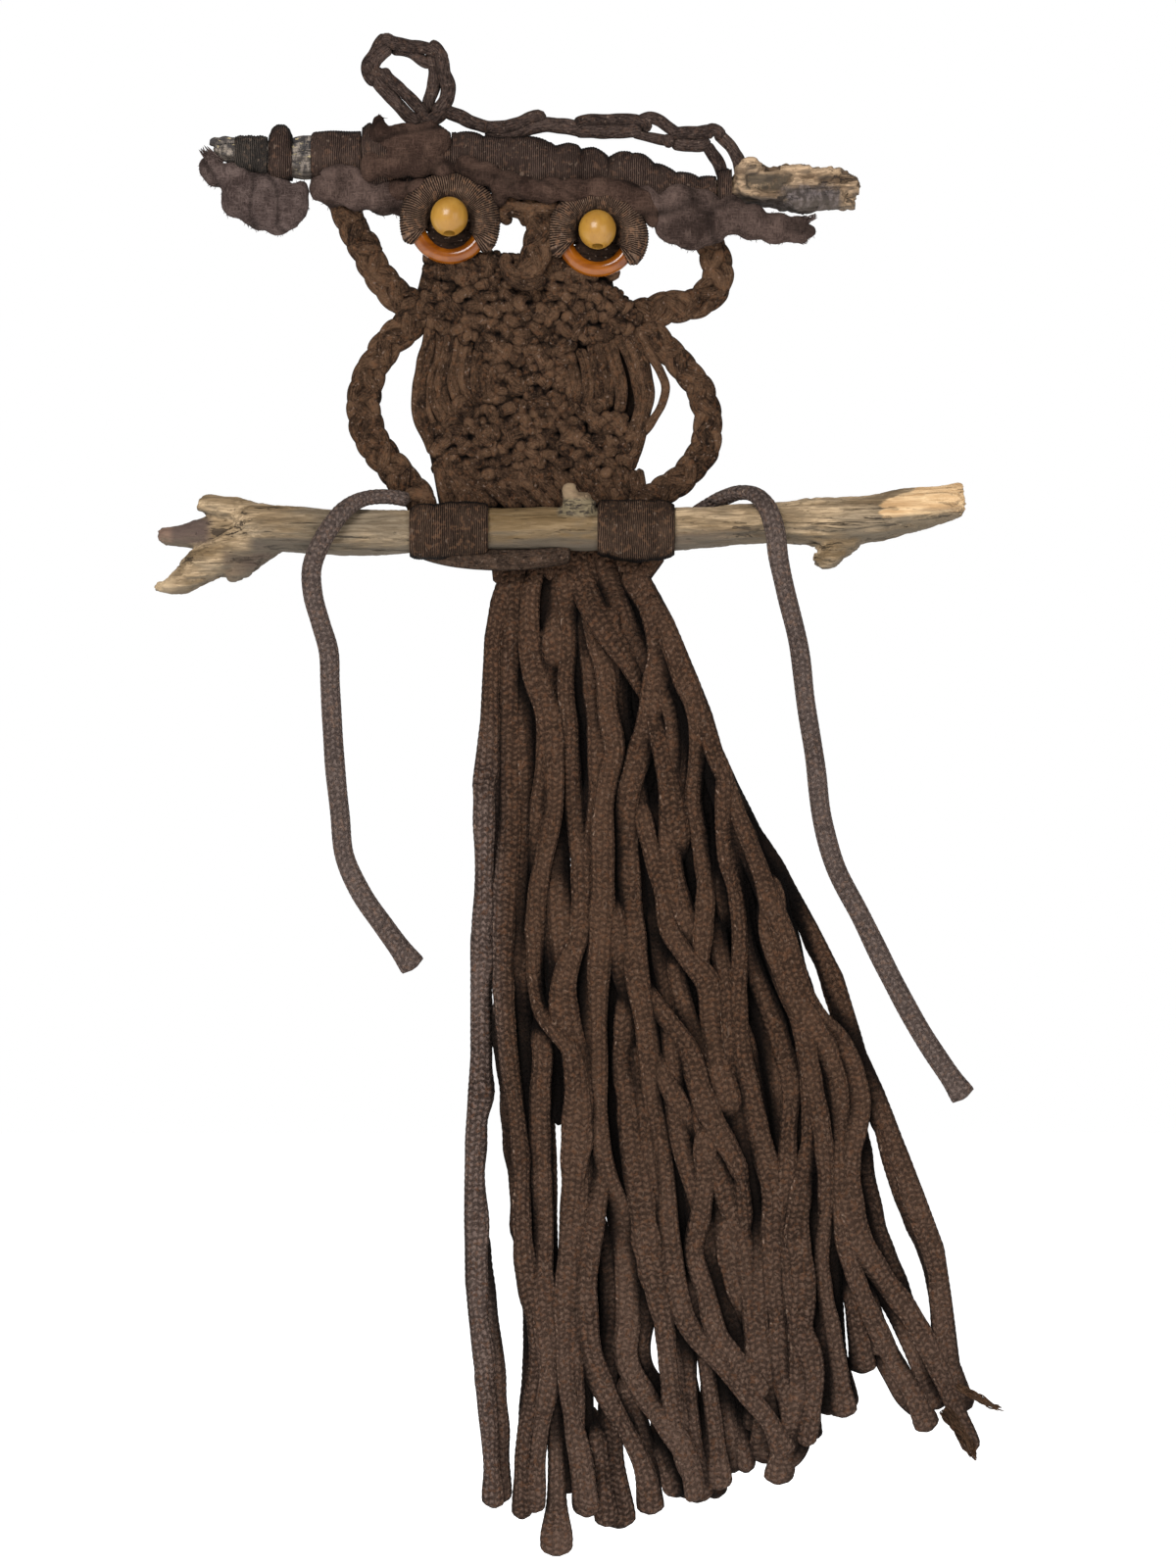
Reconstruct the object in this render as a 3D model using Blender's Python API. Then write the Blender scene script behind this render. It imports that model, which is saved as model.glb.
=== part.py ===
"""A macrame owl that hangs from a crocheted loop: two driftwood sticks, wound and knotted cotton cord, and a
long tail of flat braided cords.

Lengths in the tables are millimetres. X runs to the viewer's right, Z up, and the owl looks along -Y.
The origin is the top of the opening in the hanging loop, where a nail or hook carries the owl.
"""

import math

import bmesh
import bpy
import numpy as np

MM = 0.001
SEAT = 0.3  # space that touching pieces keep
TURN = 2 * math.pi

# Driftwood sticks: centre and half sizes of each cross-section.
STICK_COLUMNS = ("x", "y", "z", "half_depth", "half_height")
TOP_BRANCH = (
    (-85, 0, -39, 3.4, 3.6),
    (-82, 0, -39, 5.2, 5.3),
    (-76, 0, -41, 6.0, 6.2),
    (-62, 0, -42.5, 6.8, 7.0),
    (-52, 0, -43, 8.0, 8.0),
    (-46, 0, -43, 9.0, 9.3),
    (-38, 0, -43, 8.4, 8.8),
    (-21, 0, -43, 7.4, 7.6),
    (17, 0, -45, 6.8, 7.0),
    (50, 0, -48.5, 7.0, 7.2),
    (80, 0, -51, 6.6, 6.8),
    (105, 0, -56, 6.2, 6.4),
    (131, 0, -58.6, 6.0, 6.2),
    (137, 0, -57.8, 6.4, 6.6),
    (142, 0, -56, 9.4, 11.0),
    (149, 0, -55, 10.5, 11.8),
    (158, 0, -56, 9.6, 10.6),
    (167, 0, -55.3, 10.2, 11.2),
    (179, 0, -56, 8.8, 9.8),
    (187, 0, -57.5, 6.8, 7.2),
    (192, 0, -56.5, 3.6, 4.0),
)
PERCH = (
    (-70, 0, -203, 7.0, 8.0),
    (-63, 0, -202, 10.0, 11.4),
    (-55, 0, -202, 9.8, 10.6),
    (-34, 0, -204.5, 9.6, 10.4),
    (-20, 0, -205, 9.8, 10.6),
    (-4, 0, -204, 9.0, 9.6),
    (17, 0, -203, 8.8, 9.2),
    (34, 0, -202.3, 8.8, 9.1),
    (59, 0, -202.2, 9.0, 9.1),
    (80, 0, -202.2, 8.8, 9.0),
    (113, 0, -202.4, 8.8, 9.2),
    (128, 0, -201.4, 8.6, 9.0),
    (141, 0, -200.2, 8.2, 8.6),
    (160, 0, -199.4, 8.4, 8.9),
    (176, 0, -199.6, 9.2, 10.4),
    (187, 0, -198.8, 9.4, 10.6),
    (202, 0, -197, 9.2, 10.2),
    (219, 0, -193.5, 8.2, 9.2),
    (234, 0, -190.2, 6.6, 7.8),
    (237, 0, -189.6, 5.2, 6.6),
)
STICK_SIDES = 12
GNARL = 0.05  # how much of its size a section swells and shrinks round the stick

# Side shoots of the perch: a route with half width and half depth at each point.
ROUTE_COLUMNS = ("x", "y", "z", "half_width", "half_depth")
SHOOTS = {
    "forked_root": ((-62, 0, -206, 8.5, 8), (-78, 1, -213, 7.6, 7), (-92, -1, -221, 6, 5.4),
                    (-103, 0, -226, 4.8, 4), (-112, 1, -227.8, 2, 2)),
    "upper_nub": ((-64, 1, -199, 8, 7), (-77, 2, -194, 6.4, 6), (-90, 3, -189, 4, 3.6)),
    "dark_shoot": ((-66, 2, -204, 8, 6), (-86, 5, -203.5, 5.6, 5), (-98, 6, -204.5, 4, 3.8), (-109, 7, -205, 2.4, 2.4)),
    "broken_stub": ((186, 0, -200, 8, 7), (182, -1, -211, 6.8, 5.8), (176.5, -2, -217, 4.6, 4.2)),
    "bark_knot": ((72, -2, -200, 8, 7.5), (71, -3.5, -191, 7.4, 6.5), (68.5, -4, -185.5, 3, 3)),
}
SHOOT_SIDES = 8

# Cord wound round a stick: where it starts and ends, its outside half sizes along the way, and how far its
# middle lies above the stick's.
WINDING_COLUMNS = ("x", "half_depth", "half_height", "rise")
TOP_WINDINGS = {
    "tip_winding": ((-76, 8.2, 8.4, 0), (-72, 8.8, 9, 0), (-69, 8.2, 8.4, 0), (-66, 8.9, 9.1, 0),
                    (-62, 8.4, 8.6, 0)),
    "raised_coil": ((-61.5, 9.4, 9.6, 0), (-59, 11, 12, 0.7), (-54, 11, 12, 0.7), (-51.5, 9.8, 10, 0)),
    "fine_winding": ((-42.5, 10, 10.4, 0), (-36, 10.1, 10.5, 0), (-29, 10, 10.3, 0), (-21.8, 9.9, 10.2, 0)),
    "brow_winding": ((-21.4, 11.5, 13, 0), (-18.5, 12.5, 15.4, 0), (-14.5, 12.2, 14, 0), (-7, 11.8, 13, 1.4),
                     (1, 11.4, 13, 3.2), (7, 11, 13.6, 4.8), (12, 10.8, 12.4, 3.6), (16.6, 10.6, 11, 2.4)),
    "main_winding": ((17, 10.6, 11, 2.4), (25, 10.8, 11.4, 2.6), (33, 11.4, 12.6, 0.8), (42, 12.4, 14, 0),
                     (52, 12.8, 14.4, 0), (60, 11, 12, 0), (66, 10.4, 11.6, 1.6), (75, 9.8, 10.6, 2.2),
                     (84, 9.6, 9.5, 1.4), (92, 9.8, 10.2, 0.6), (97, 11.2, 12, 0.4), (105, 10.4, 11.4, 0.4),
                     (115, 8.8, 9.2, 0), (125, 8.2, 8.4, 0), (130.5, 8, 8.2, 0)),
    "hanger_tie": ((131.2, 8.8, 9.4, 0), (132.6, 9.8, 10.6, 0), (134.2, 9.2, 10, 0), (135.6, 9.8, 10.6, 0),
                   (136.8, 8.8, 9.6, 0)),
}
FEET = {
    "foot_left": ((-0.4, 11.2, 11.4, 0), (3, 12, 12.2, 0), (16, 12.2, 12.3, 0), (29, 12, 12.2, 0),
                  (32.2, 11, 11.3, 0)),
    "foot_right": ((80.4, 11, 11.3, 0), (84, 12, 12.4, 0), (96, 12.4, 12.8, 0), (108, 12, 12.4, 0),
                   (112.4, 11, 11.4, 0)),
}

# Eyes: a wooden craft ring half wound with cord, and a bead held in front of it.
EYES = {"left": (17, -71.3), "right": (80, -76.9)}
EYE_Y = -8.6
RING_RADIUS = 13.5
RING_THICK = 4.2
RING_WOUND = 6.5
WOUND_FROM = math.radians(-47)
WOUND_TO = math.radians(207)
RING_STEPS = 24
RING_SIDES = 8
BEAD_RADIUS = 8
BEAD_BORE = 2.2
BEAD_RISE = 1.6  # how far the bead's centre lies above the ring's
BEAD_STEPS = 14
BEAD_ARC = 7
BEAD_TILT = math.radians(22)  # the top of the bore leans back, into the ring's winding
BEAD_CORD = 1.8  # half thickness of the cord through the bore
BEAD_CORD_ENDS = (-6.8, 9.5)  # how far it reaches along the bore, from the bead's centre
BEAD_CORD_SIDES = 6

# Knotted body: left and right edge of each level, and how far back it lies.
BODY_COLUMNS = ("left_x", "left_z", "right_x", "right_z", "y")
BODY_EDGES = (
    (5, -85.6, 90, -91, -1.4),
    (0, -104, 92, -106, 0.6),
    (3, -117, 97, -118, 2.4),
    (2, -130, 102, -130, 3.6),
    (0, -143, 107, -143, 4),
    (2, -154, 105, -154, 4.4),
    (6, -166, 99, -166, 5),
    (8, -177, 98, -177, 6.4),
    (13, -191.5, 93, -190.5, 9.2),
)
BODY_STRANDS = 13
BODY_LEVELS = 18
STRAND_GROOVE = 0.07  # half the space between two strands, as a share of their pitch
STRAND_EDGE = 1.0
STRAND_CROWN = 2.6
SLOT_COLUMNS = ("left_strand", "first_level", "last_level", "widest")
BODY_SLOTS = ((1, 6, 11, 1), (8, 6, 11, 1.6), (9, 5, 12, 2.6), (10, 5, 12, 5), (11, 6, 12, 2.6))
# Square knots: one on every second strand of these levels, from the first strand to the last.
KNOT_ROW_COLUMNS = ("level", "first_strand", "last_strand")
KNOT_ROWS = ((1, 0, 12), (3, 1, 11), (5, 0, 12), (7, 4, 8), (9, 5, 7), (11, 4, 8), (13, 1, 11), (15, 2, 10),
             (17, 1, 11))
KNOT_RISE = 3.4
KNOT_CROWN = ((0, 0.72), (0.43, 1), (0.57, 0.86), (1, 0))  # rise of a knot at these distances from its middle

# Square-knot sinnets that make the wings. They are fused with the body where its cords enter them.
WINGS = {
    "wing_upper_left": ((-31, 3, -54.9, 5.6, 4.4), (-27, 3, -68, 7, 4.8), (-19, 3, -83, 7.2, 5),
                        (-10, 3, -97, 7, 4.8), (2, 3, -106, 6.8, 4), (8, 3, -110, 5, 3)),
    "wing_lower_left": ((7, 3, -108, 4, 3), (0, 3, -113, 6.4, 4), (-10.5, 3, -123, 7, 4.8),
                        (-20, 3, -136, 7, 4.8), (-22.5, 3.4, -151, 7, 4.8), (-17.5, 4, -166, 7, 4.8),
                        (-7, 6, -179, 6.4, 4.4), (3, 8, -184.6, 6.2, 4), (16, 8.4, -184.6, 5, 3)),
    "wing_upper_right": ((124.6, 3, -68.8, 5, 4.2), (129.6, 3, -80, 6.4, 4.6), (132, 3, -93, 7, 4.8),
                         (123, 3, -102.5, 6.8, 4.8), (110, 3, -106, 6.6, 4.8), (97, 3, -110.5, 6.4, 4.2),
                         (88, 3, -113, 4, 3)),
    "wing_lower_right": ((92, 3, -110, 4, 3), (99, 3, -115, 6.2, 4), (109, 3, -125, 6.8, 4.8),
                         (121, 3, -138, 6.8, 4.8), (127, 3.4, -153, 6.8, 4.8), (124.4, 4, -170, 6.8, 4.8),
                         (115, 6, -181, 6.6, 4.4), (102, 8, -185, 6.2, 4), (88, 8.4, -184.6, 4, 3)),
}
WING_SIDES = 8
SINNET_STEP = 3.5  # half the pitch of the square knots
SINNET_RIDGE = 0.09

# Beak: a short sinnet between the eyes, with a bar of knots above it.
BEAK = ((53, -5, -62.6, 5.4, 4), (53.2, -7, -68.6, 6, 4.8), (52.8, -8.6, -77, 6, 5), (52.6, -10, -84, 6.2, 5),
        (51.6, -10.8, -90, 5.6, 4.4), (48.5, -10.6, -96, 3.8, 3))
BEAK_BAR = ((40, -5.4, -64.4, 2.2, 2.6), (46, -5.4, -64.4, 2.6, 3), (54, -6, -66, 2.6, 3))
BEAK_SIDES = 8

# Raw fibre, brushed out into lumps that hang from the top branch.
TUFTS = {
    "ear_tuft_left": ((-91, -4, -51.5, 5.4, 5), (-85, -4, -56, 8.8, 6.6), (-76, -3.6, -60.4, 10.6, 7.4),
                      (-64, -3.4, -64.2, 10.4, 7.4), (-53, -4, -64.4, 9.2, 6.6), (-46, -4, -62.6, 6, 5)),
    "brow_tuft_left": ((-42, -8, -57.4, 4.6, 4), (-36, -8.4, -60.4, 7.4, 5), (-26, -8.6, -61.8, 8, 5),
                       (-16, -9.8, -64.6, 7.6, 4.8), (-9, -10, -64.4, 6.2, 4.2), (-5, -10, -63.4, 4.2, 3.6)),
    "ear_tuft_right": ((102.8, -9.6, -67.8, 4.6, 3.6), (108.5, -8.4, -72.6, 7.4, 4.8), (116, -7.4, -76.4, 8.6, 5.2),
                       (128, -6.8, -76.4, 8.6, 5.2), (140, -6.6, -73.8, 6.4, 4.8), (151, -4.8, -74.2, 6.8, 5),
                       (162, -3, -72.9, 6.4, 5), (171, -2, -71.4, 4, 3.6)),
}
TUFT_SIDES = 10
TUFT_STEPS = 12
TUFT_LUMP = 0.12

# Hanger: a crocheted chain along the branch, and the loop that goes over a nail.
LOOP_ROUTE = ((-8.4, 0, 5.2, 3.7, 3.7), (0, 0, 4, 3.6, 3.6), (8, 0, 0.8, 3.9, 3.7), (12.6, 0, -7.1, 3.8, 3.7),
              (13.2, 0, -15.4, 4, 3.8), (6.4, 0, -22, 3.9, 3.8), (-3.4, 0, -18.5, 3.9, 3.8),
              (-10.6, 0, -13.6, 3.7, 3.6), (-16.8, 0, -5.5, 3.8, 3.7), (-14.3, 0, 1.7, 3.5, 3.6))
LOOP_STEPS = 26
LOOP_SIDES = 8
TWIST_RIDGE = 0.1
CHAIN_ROUTE = ((15, 0, -21.9, 2.4, 2.4), (28, 0, -28, 2.8, 2.6), (39, 0, -29.6, 3.1, 2.8), (50, 0, -27.2, 3.6, 3),
               (60, 0, -29.2, 3.4, 3), (71, 0, -30.2, 4.2, 3), (80, 0, -29.6, 5.2, 3.4), (91, 0, -29.6, 5.2, 3.4),
               (101, 0, -29.4, 3.8, 3))
CHAIN_STEPS = 22
CHAIN_LINK_ROUTE = ((110.5, 0, -33.4, 3.4, 2.8), (117, 0, -35, 4.4, 3.2), (124, 0, -35.2, 4.4, 3.2),
                    (131, 0, -37.4, 3.2, 2.8))
EYELET_COLUMNS = ("x", "z", "half_length", "half_height", "slope", "thick")
CHAIN_EYELETS = ((106, -31.4, 7, 4.2, -0.45, 2.2), (134, -40.1, 5.6, 3.6, -1.1, 2))
EYELET_STEPS = 12
CHAIN_SIDES = 6

# Turns of cord under the perch, between the feet.
PERCH_BAND = ((-2, 12.2, -211.6, 2, 2), (6, 9.4, -215.4, 2.4, 2.8), (18, 6.6, -217.6, 2.8, 3.2),
              (30, 3, -218.8, 3.2, 4.2), (38, 0.4, -217.4, 4.8, 5), (48, -1, -217.1, 5.1, 5.2),
              (62, -2, -216.9, 5, 5))
BAND_STEPS = 12

# Tail: the cords in front have a row each, with x at each of the heights. The cords behind them are spread
# evenly between the tail's edges, in three layers by turns.
TAIL_HEIGHTS = (-232, -270, -340, -420, -500, -580)
TAIL_LAYERS = {"front": -9, "second": -3.4, "third": 2.2, "back": 7.8}
FRONT_COLUMNS = ("end_z",) + TAIL_HEIGHTS
FRONT_CORDS = (
    (-620, 38.6, 33.2, 31.5, 30.7, 28.1, 35),
    (-641, 50.4, 53.3, 58.8, 67.2, 69.3, 65),
    (-616, 74.8, 83.2, 83.2, 80.2, 89.5, 103),
    (-606, 91.6, 105.8, 99, 100.4, 109.2, 133.6),
    (-604, 104.2, 120.5, 122.6, 129.4, 141, 159.6),
)
TAIL_LEFT = (39.5, 37, 40.5, 41.5, 45.5, 49.5)
TAIL_RIGHT = (107, 120, 151, 188, 211, 239)
HIDDEN_CORDS = 23
HIDDEN_LAYERS = ("second", "back", "third")
SWAY = 1.8
END_COLUMNS = ("x", "z")
TAIL_ENDS = ((50, -623), (63, -612), (74, -622), (87, -632), (102, -622), (126, -617), (142, -604), (158, -611),
             (169, -595), (185, -583), (195, -568), (216, -590), (240, -603))
END_STEP = 5  # by turns, the hidden cords end this much higher and lower
CORD_WIDTH = 8.4
CORD_THICK = 4.6
ROOT_Z = -226
ROOT_WIDTH = 6.8
TAIL_STEPS = 13
TAIL_HEAD = ((34, 0, -227.5, 3.6, 9), (38.5, 0, -227.4, 5.2, 12.4), (66, 0, -227.4, 5.2, 12.8),
             (72, 0, -222.4, 8.2, 12.2), (77, 0, -222.4, 8.2, 12.2), (82, 0, -222.4, 6.6, 12.8),
             (104, 0, -222.6, 6.6, 12.6), (112, 0, -225, 3.4, 9))
HEAD_STEPS = 14
HEAD_SIDES = 10
TAIL_NECK = ((36, 12.1, -209, 16.8, 2.2), (46, 12.1, -209, 18.2, 2.4), (66, 12.1, -209, 18.2, 2.4),
             (77.5, 12.1, -209, 16.8, 2.2))

# Two single cords, laid over the perch and hanging free.
LOOSE_WIDTH = 8.4
LOOSE_CORDS = {
    "loose_cord_left": ((-0.9, -2, -190), (-10, -2.2, -188.6), (-20, -3.6, -189), (-29, -9, -192.6),
                        (-36, -13.4, -199), (-40, -15.2, -208), (-42.6, -15, -219), (-42, -14, -231),
                        (-38.4, -13, -243), (-34.8, -12, -255), (-34, -11, -269), (-33, -10.4, -288),
                        (-32, -10, -306), (-29.6, -10, -325), (-28, -10, -343), (-21.6, -10, -358),
                        (-11, -10, -373), (0.6, -10, -389)),
    "loose_cord_right": ((114.2, 13.4, -197.6), (119.5, 13.6, -195.4), (126.5, 11.6, -191), (133.5, 6, -187.7),
                         (141, 0, -186.7), (147.6, -6.6, -188.2), (152.4, -12, -194), (155.4, -13.8, -203),
                         (157, -13.6, -215), (160, -13, -229), (165.6, -12, -253), (168.4, -11, -277),
                         (172.6, -10.4, -302), (175.6, -10, -328), (180.8, -10, -347), (192.6, -10, -369),
                         (204.6, -10, -393), (218, -10, -417), (237, -10, -445.6)),
}
LOOSE_SPACING = 11

COLOURS = {
    "cord": ((0.052, 0.030, 0.020), 0.9),
    "fibre": ((0.076, 0.050, 0.044), 0.95),
    "pale_wood": ((0.33, 0.22, 0.13), 0.75),
    "branch_wood": ((0.24, 0.16, 0.10), 0.8),
    "bead_wood": ((0.50, 0.27, 0.07), 0.35),
    "amber_ring": ((0.28, 0.09, 0.02), 0.15),
}


def clear_scene():
    for obj in list(bpy.data.objects):
        bpy.data.objects.remove(obj, do_unlink=True)


def colour(obj, name):
    """Gives the object its own copy of one of the named finishes."""
    base, roughness = COLOURS[name]
    finish = bpy.data.materials.new(f"{obj.name}_{name}")
    finish.use_nodes = True
    shader = finish.node_tree.nodes["Principled BSDF"]
    shader.inputs["Base Color"].default_value = (*base, 1)
    shader.inputs["Roughness"].default_value = roughness
    shader.inputs["Metallic"].default_value = 0
    obj.data.materials.append(finish)


def spline(rows, places, closed=False):
    """Rows read at the given places along a smooth curve through the table's rows."""
    rows = np.array(rows, float)
    count = len(rows)
    places = np.asarray(places, float)
    if closed:
        first = np.floor(places).astype(int) % count
        four = [rows[(first + step) % count] for step in (-1, 0, 1, 2)]
    else:
        first = np.clip(np.floor(places).astype(int), 0, count - 2)
        rows = np.vstack([2 * rows[0] - rows[1], rows, 2 * rows[-1] - rows[-2]])
        four = [rows[first + step] for step in range(4)]
    part = (places - (np.floor(places) if closed else first))[:, None]
    a, b, c, d = four
    bend = (2 * a - 5 * b + 4 * c - d) * part**2 + (3 * b - a - 3 * c + d) * part**3
    return 0.5 * (2 * b + (c - a) * part + bend)


def even_rows(rows, count, closed=False):
    """Rows evenly spaced by the length of their x, y, z curve."""
    spans = len(rows) if closed else len(rows) - 1
    fine = np.linspace(0, spans, spans * 24 + 1)
    steps = np.linalg.norm(np.diff(spline(rows, fine, closed)[:, :3], axis=0), axis=1)
    along = np.concatenate([[0], np.cumsum(steps)])
    wanted = np.linspace(0, along[-1], count + 1)[:-1] if closed else np.linspace(0, along[-1], count)
    return spline(rows, np.interp(wanted, along, fine), closed)


def route_length(rows):
    points = spline(rows, np.linspace(0, len(rows) - 1, len(rows) * 24))[:, :3]
    return np.linalg.norm(np.diff(points, axis=0), axis=1).sum()


def frames(points, closed=False):
    """Side and depth directions across a route that mostly lies in the XZ plane."""
    if closed:
        along = np.roll(points, -1, axis=0) - np.roll(points, 1, axis=0)
    else:
        along = np.gradient(points, axis=0)
    along /= np.linalg.norm(along, axis=1)[:, None]
    side = np.cross(along, (0, 1, 0))
    side /= np.linalg.norm(side, axis=1)[:, None]
    return side, np.cross(side, along)


def rings_along(rows, sides, swell=None, closed=False, start_angle=0.0):
    """Oval sections across a route. swell(step, angle) scales each of their points."""
    rows = np.asarray(rows)
    side, depth = frames(rows[:, :3], closed)
    angles = start_angle + np.arange(sides) * TURN / sides
    rings = []
    for step, row in enumerate(rows):
        scale = np.array([swell(step, angle) for angle in angles]) if swell else np.ones(sides)
        across = np.outer(row[3] * np.cos(angles) * scale, side[step])
        rings.append(row[:3] + across + np.outer(row[4] * np.sin(angles) * scale, depth[step]))
    return rings


def mesh_object(name, points, faces, finish=None, smooth=True):
    """One object from points in millimetres, with every face turned outwards."""
    mesh = bpy.data.meshes.new(name)
    mesh.from_pydata([tuple(point) for point in np.asarray(points) * MM], [], faces)
    shell = bmesh.new()
    shell.from_mesh(mesh)
    bmesh.ops.recalc_face_normals(shell, faces=shell.faces)
    shell.to_mesh(mesh)
    shell.free()
    if smooth:
        mesh.shade_smooth()
        mesh.set_sharp_from_angle(angle=math.radians(50))
    obj = bpy.data.objects.new(name, mesh)
    bpy.context.scene.collection.objects.link(obj)
    if finish:
        colour(obj, finish)
    return obj


def wall(first, second, sides):
    """Faces that join two rings of points, given the numbers of their first points."""
    turned = [(first + k, first + (k + 1) % sides, second + (k + 1) % sides, second + k) for k in range(sides)]
    return turned


def loft(name, rings, finish=None, closed=False):
    """A closed skin over a row of rings, with flat ends or joined into a hoop."""
    sides = len(rings[0])
    faces = []
    for step in range(len(rings) - 1):
        faces += wall(step * sides, (step + 1) * sides, sides)
    last = (len(rings) - 1) * sides
    if closed:
        faces += wall(last, 0, sides)
    else:
        faces.append(tuple(range(sides)))
        faces.append(tuple(range(last, last + sides)))
    return mesh_object(name, np.vstack(rings), faces, finish)


def sleeve(name, outer, inner, finish):
    """A tube wall between an outer and an inner row of rings, open at both ends."""
    sides = len(outer[0])
    faces = []
    for step in range(len(outer) - 1):
        faces += wall(step * sides, (step + 1) * sides, sides)
    base = len(outer) * sides
    for step in range(len(inner) - 1):
        faces += wall(base + step * sides, base + (step + 1) * sides, sides)
    faces += wall(0, base, sides)
    faces += wall(base - sides, base + (len(inner) - 1) * sides, sides)
    return mesh_object(name, np.vstack(outer + inner), faces, finish)


def fuse(base, helpers):
    """Makes the helpers one body with the base. They stay in the scene as hidden guides."""
    for helper in helpers:
        helper.hide_render = True
        helper.display_type = "WIRE"
        union = base.modifiers.new(helper.name, "BOOLEAN")
        union.operation = "UNION"
        union.solver = "EXACT"
        union.object = helper


def gnarl(x, angle):
    """Swelling of driftwood: slow waves along the stick that turn as they go."""
    return 1 + GNARL * math.sin(3 * angle + 0.09 * x) * math.cos(0.06 * x + 1) + 0.4 * GNARL * math.sin(0.31 * x)


def stick_rings(table):
    """Upright sections of a stick, one for each row of its table."""
    rings = []
    for x, y, z, half_depth, half_height in table:
        ring = []
        for k in range(STICK_SIDES):
            angle = k * TURN / STICK_SIDES
            size = gnarl(x, angle)
            ring.append((x, y + half_depth * size * math.cos(angle), z + half_height * size * math.sin(angle)))
        rings.append(np.array(ring))
    return rings


def ring_at(table, rings, x, lift):
    """The stick's own section at x, moved outwards by lift."""
    places = [row[0] for row in table]
    after = next(k for k, place in enumerate(places) if place >= x)
    share = (x - places[after - 1]) / (places[after] - places[after - 1])
    ring = rings[after - 1] * (1 - share) + rings[after] * share
    centre = ring.mean(axis=0)
    out = ring - centre
    return ring + out / np.linalg.norm(out, axis=1)[:, None] * lift


def stick_centre(table, x):
    places = [row[0] for row in table]
    return [np.interp(x, places, [row[column] for row in table]) for column in (1, 2)]


def winding(name, table, rings, profile):
    """Cord wound round a stick: its bore keeps SEAT from the wood, its outside follows the profile."""
    outer = []
    for x, half_depth, half_height, rise in profile:
        y, z = stick_centre(table, x)
        angles = np.arange(STICK_SIDES) * TURN / STICK_SIDES
        outer.append(np.stack([np.full(STICK_SIDES, float(x)), y + half_depth * np.cos(angles),
                               z + rise + half_height * np.sin(angles)], axis=1))
    first, last = profile[0][0], profile[-1][0]
    stops = [first] + [row[0] for row in table if first < row[0] < last] + [last]
    inner = [ring_at(table, rings, x, SEAT) for x in stops]
    return sleeve(name, outer, inner, "cord")


def make_sticks():
    """Both sticks, and the windings that sit on them."""
    top_rings = stick_rings(TOP_BRANCH)
    loft("top_branch", top_rings, "branch_wood")
    for name, profile in TOP_WINDINGS.items():
        winding(name, TOP_BRANCH, top_rings, profile)
    perch_rings = stick_rings(PERCH)
    perch = loft("perch", perch_rings, "pale_wood")
    helpers = []
    for name, route in SHOOTS.items():
        rows = even_rows(route, len(route) + 1)
        helpers.append(loft(name, rings_along(rows, SHOOT_SIDES, start_angle=0.2)))
    fuse(perch, helpers)
    for name, profile in FEET.items():
        winding(name, PERCH, perch_rings, profile)


def hoop_rings(centre, thick, angles):
    """Round sections of a ring that stands in the XZ plane."""
    rings = []
    for turn in angles:
        out = np.array((math.cos(turn), 0, math.sin(turn)))
        around = np.arange(RING_SIDES) * TURN / RING_SIDES
        rings.append(centre + RING_RADIUS * out + thick * (np.outer(np.cos(around), out)
                                                           + np.outer(np.sin(around), (0, 1, 0))))
    return rings


def make_eye(side, x, z):
    """One eye: the ring, the cord wound round its upper part, and the bead in front of it."""
    centre = np.array((x, EYE_Y, z))
    step = TURN / RING_STEPS
    loft(f"eye_ring_{side}", hoop_rings(centre, RING_THICK, np.arange(RING_STEPS) * step), "amber_ring", closed=True)
    first, last = math.ceil(WOUND_FROM / step), math.floor(WOUND_TO / step)
    wound = np.arange(first, last + 1) * step
    winding = sleeve(f"eye_winding_{side}", hoop_rings(centre, RING_WOUND, wound),
                     hoop_rings(centre, RING_THICK + SEAT, wound), "cord")
    reach = BEAD_RADIUS + RING_WOUND + SEAT
    forward = math.sqrt(reach**2 - (RING_RADIUS - BEAD_RISE) ** 2)
    bead = centre + (0, -forward, BEAD_RISE)
    make_bead(f"eye_bead_{side}", bead)
    bore = np.array((0, math.sin(BEAD_TILT), math.cos(BEAD_TILT)))
    rows = [(*(bead + end * bore), BEAD_CORD, BEAD_CORD) for end in BEAD_CORD_ENDS]
    fuse(winding, [loft(f"bead_cord_{side}", rings_along(rows, BEAD_CORD_SIDES))])


def make_bead(name, centre):
    """A round bead whose bore leans back."""
    rim = math.asin(BEAD_BORE / BEAD_RADIUS)
    arc = np.linspace(rim, math.pi - rim, BEAD_ARC)
    profile = [(BEAD_RADIUS * math.sin(a), -BEAD_RADIUS * math.cos(a)) for a in arc]
    rings = []
    lean = np.array(((1, 0, 0), (0, math.cos(BEAD_TILT), -math.sin(BEAD_TILT)),
                     (0, math.sin(BEAD_TILT), math.cos(BEAD_TILT))))
    for turn in np.arange(BEAD_STEPS) * TURN / BEAD_STEPS:
        ring = np.array([(r * math.cos(turn), r * math.sin(turn), h) for r, h in profile])
        rings.append(centre + ring @ lean)
    loft(name, rings, "bead_wood", closed=True)


def knot_lift(across, level):
    """How far a square knot stands proud, at a place counted in strands from the left edge."""
    for knot_level, first, last in KNOT_ROWS:
        if level == knot_level:
            middles = np.arange(first, last + 1, 2) + 0.5
            offset = np.abs(middles - across).min()
            return KNOT_RISE * np.interp(offset, *zip(*KNOT_CROWN))
    return 0.0


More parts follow.
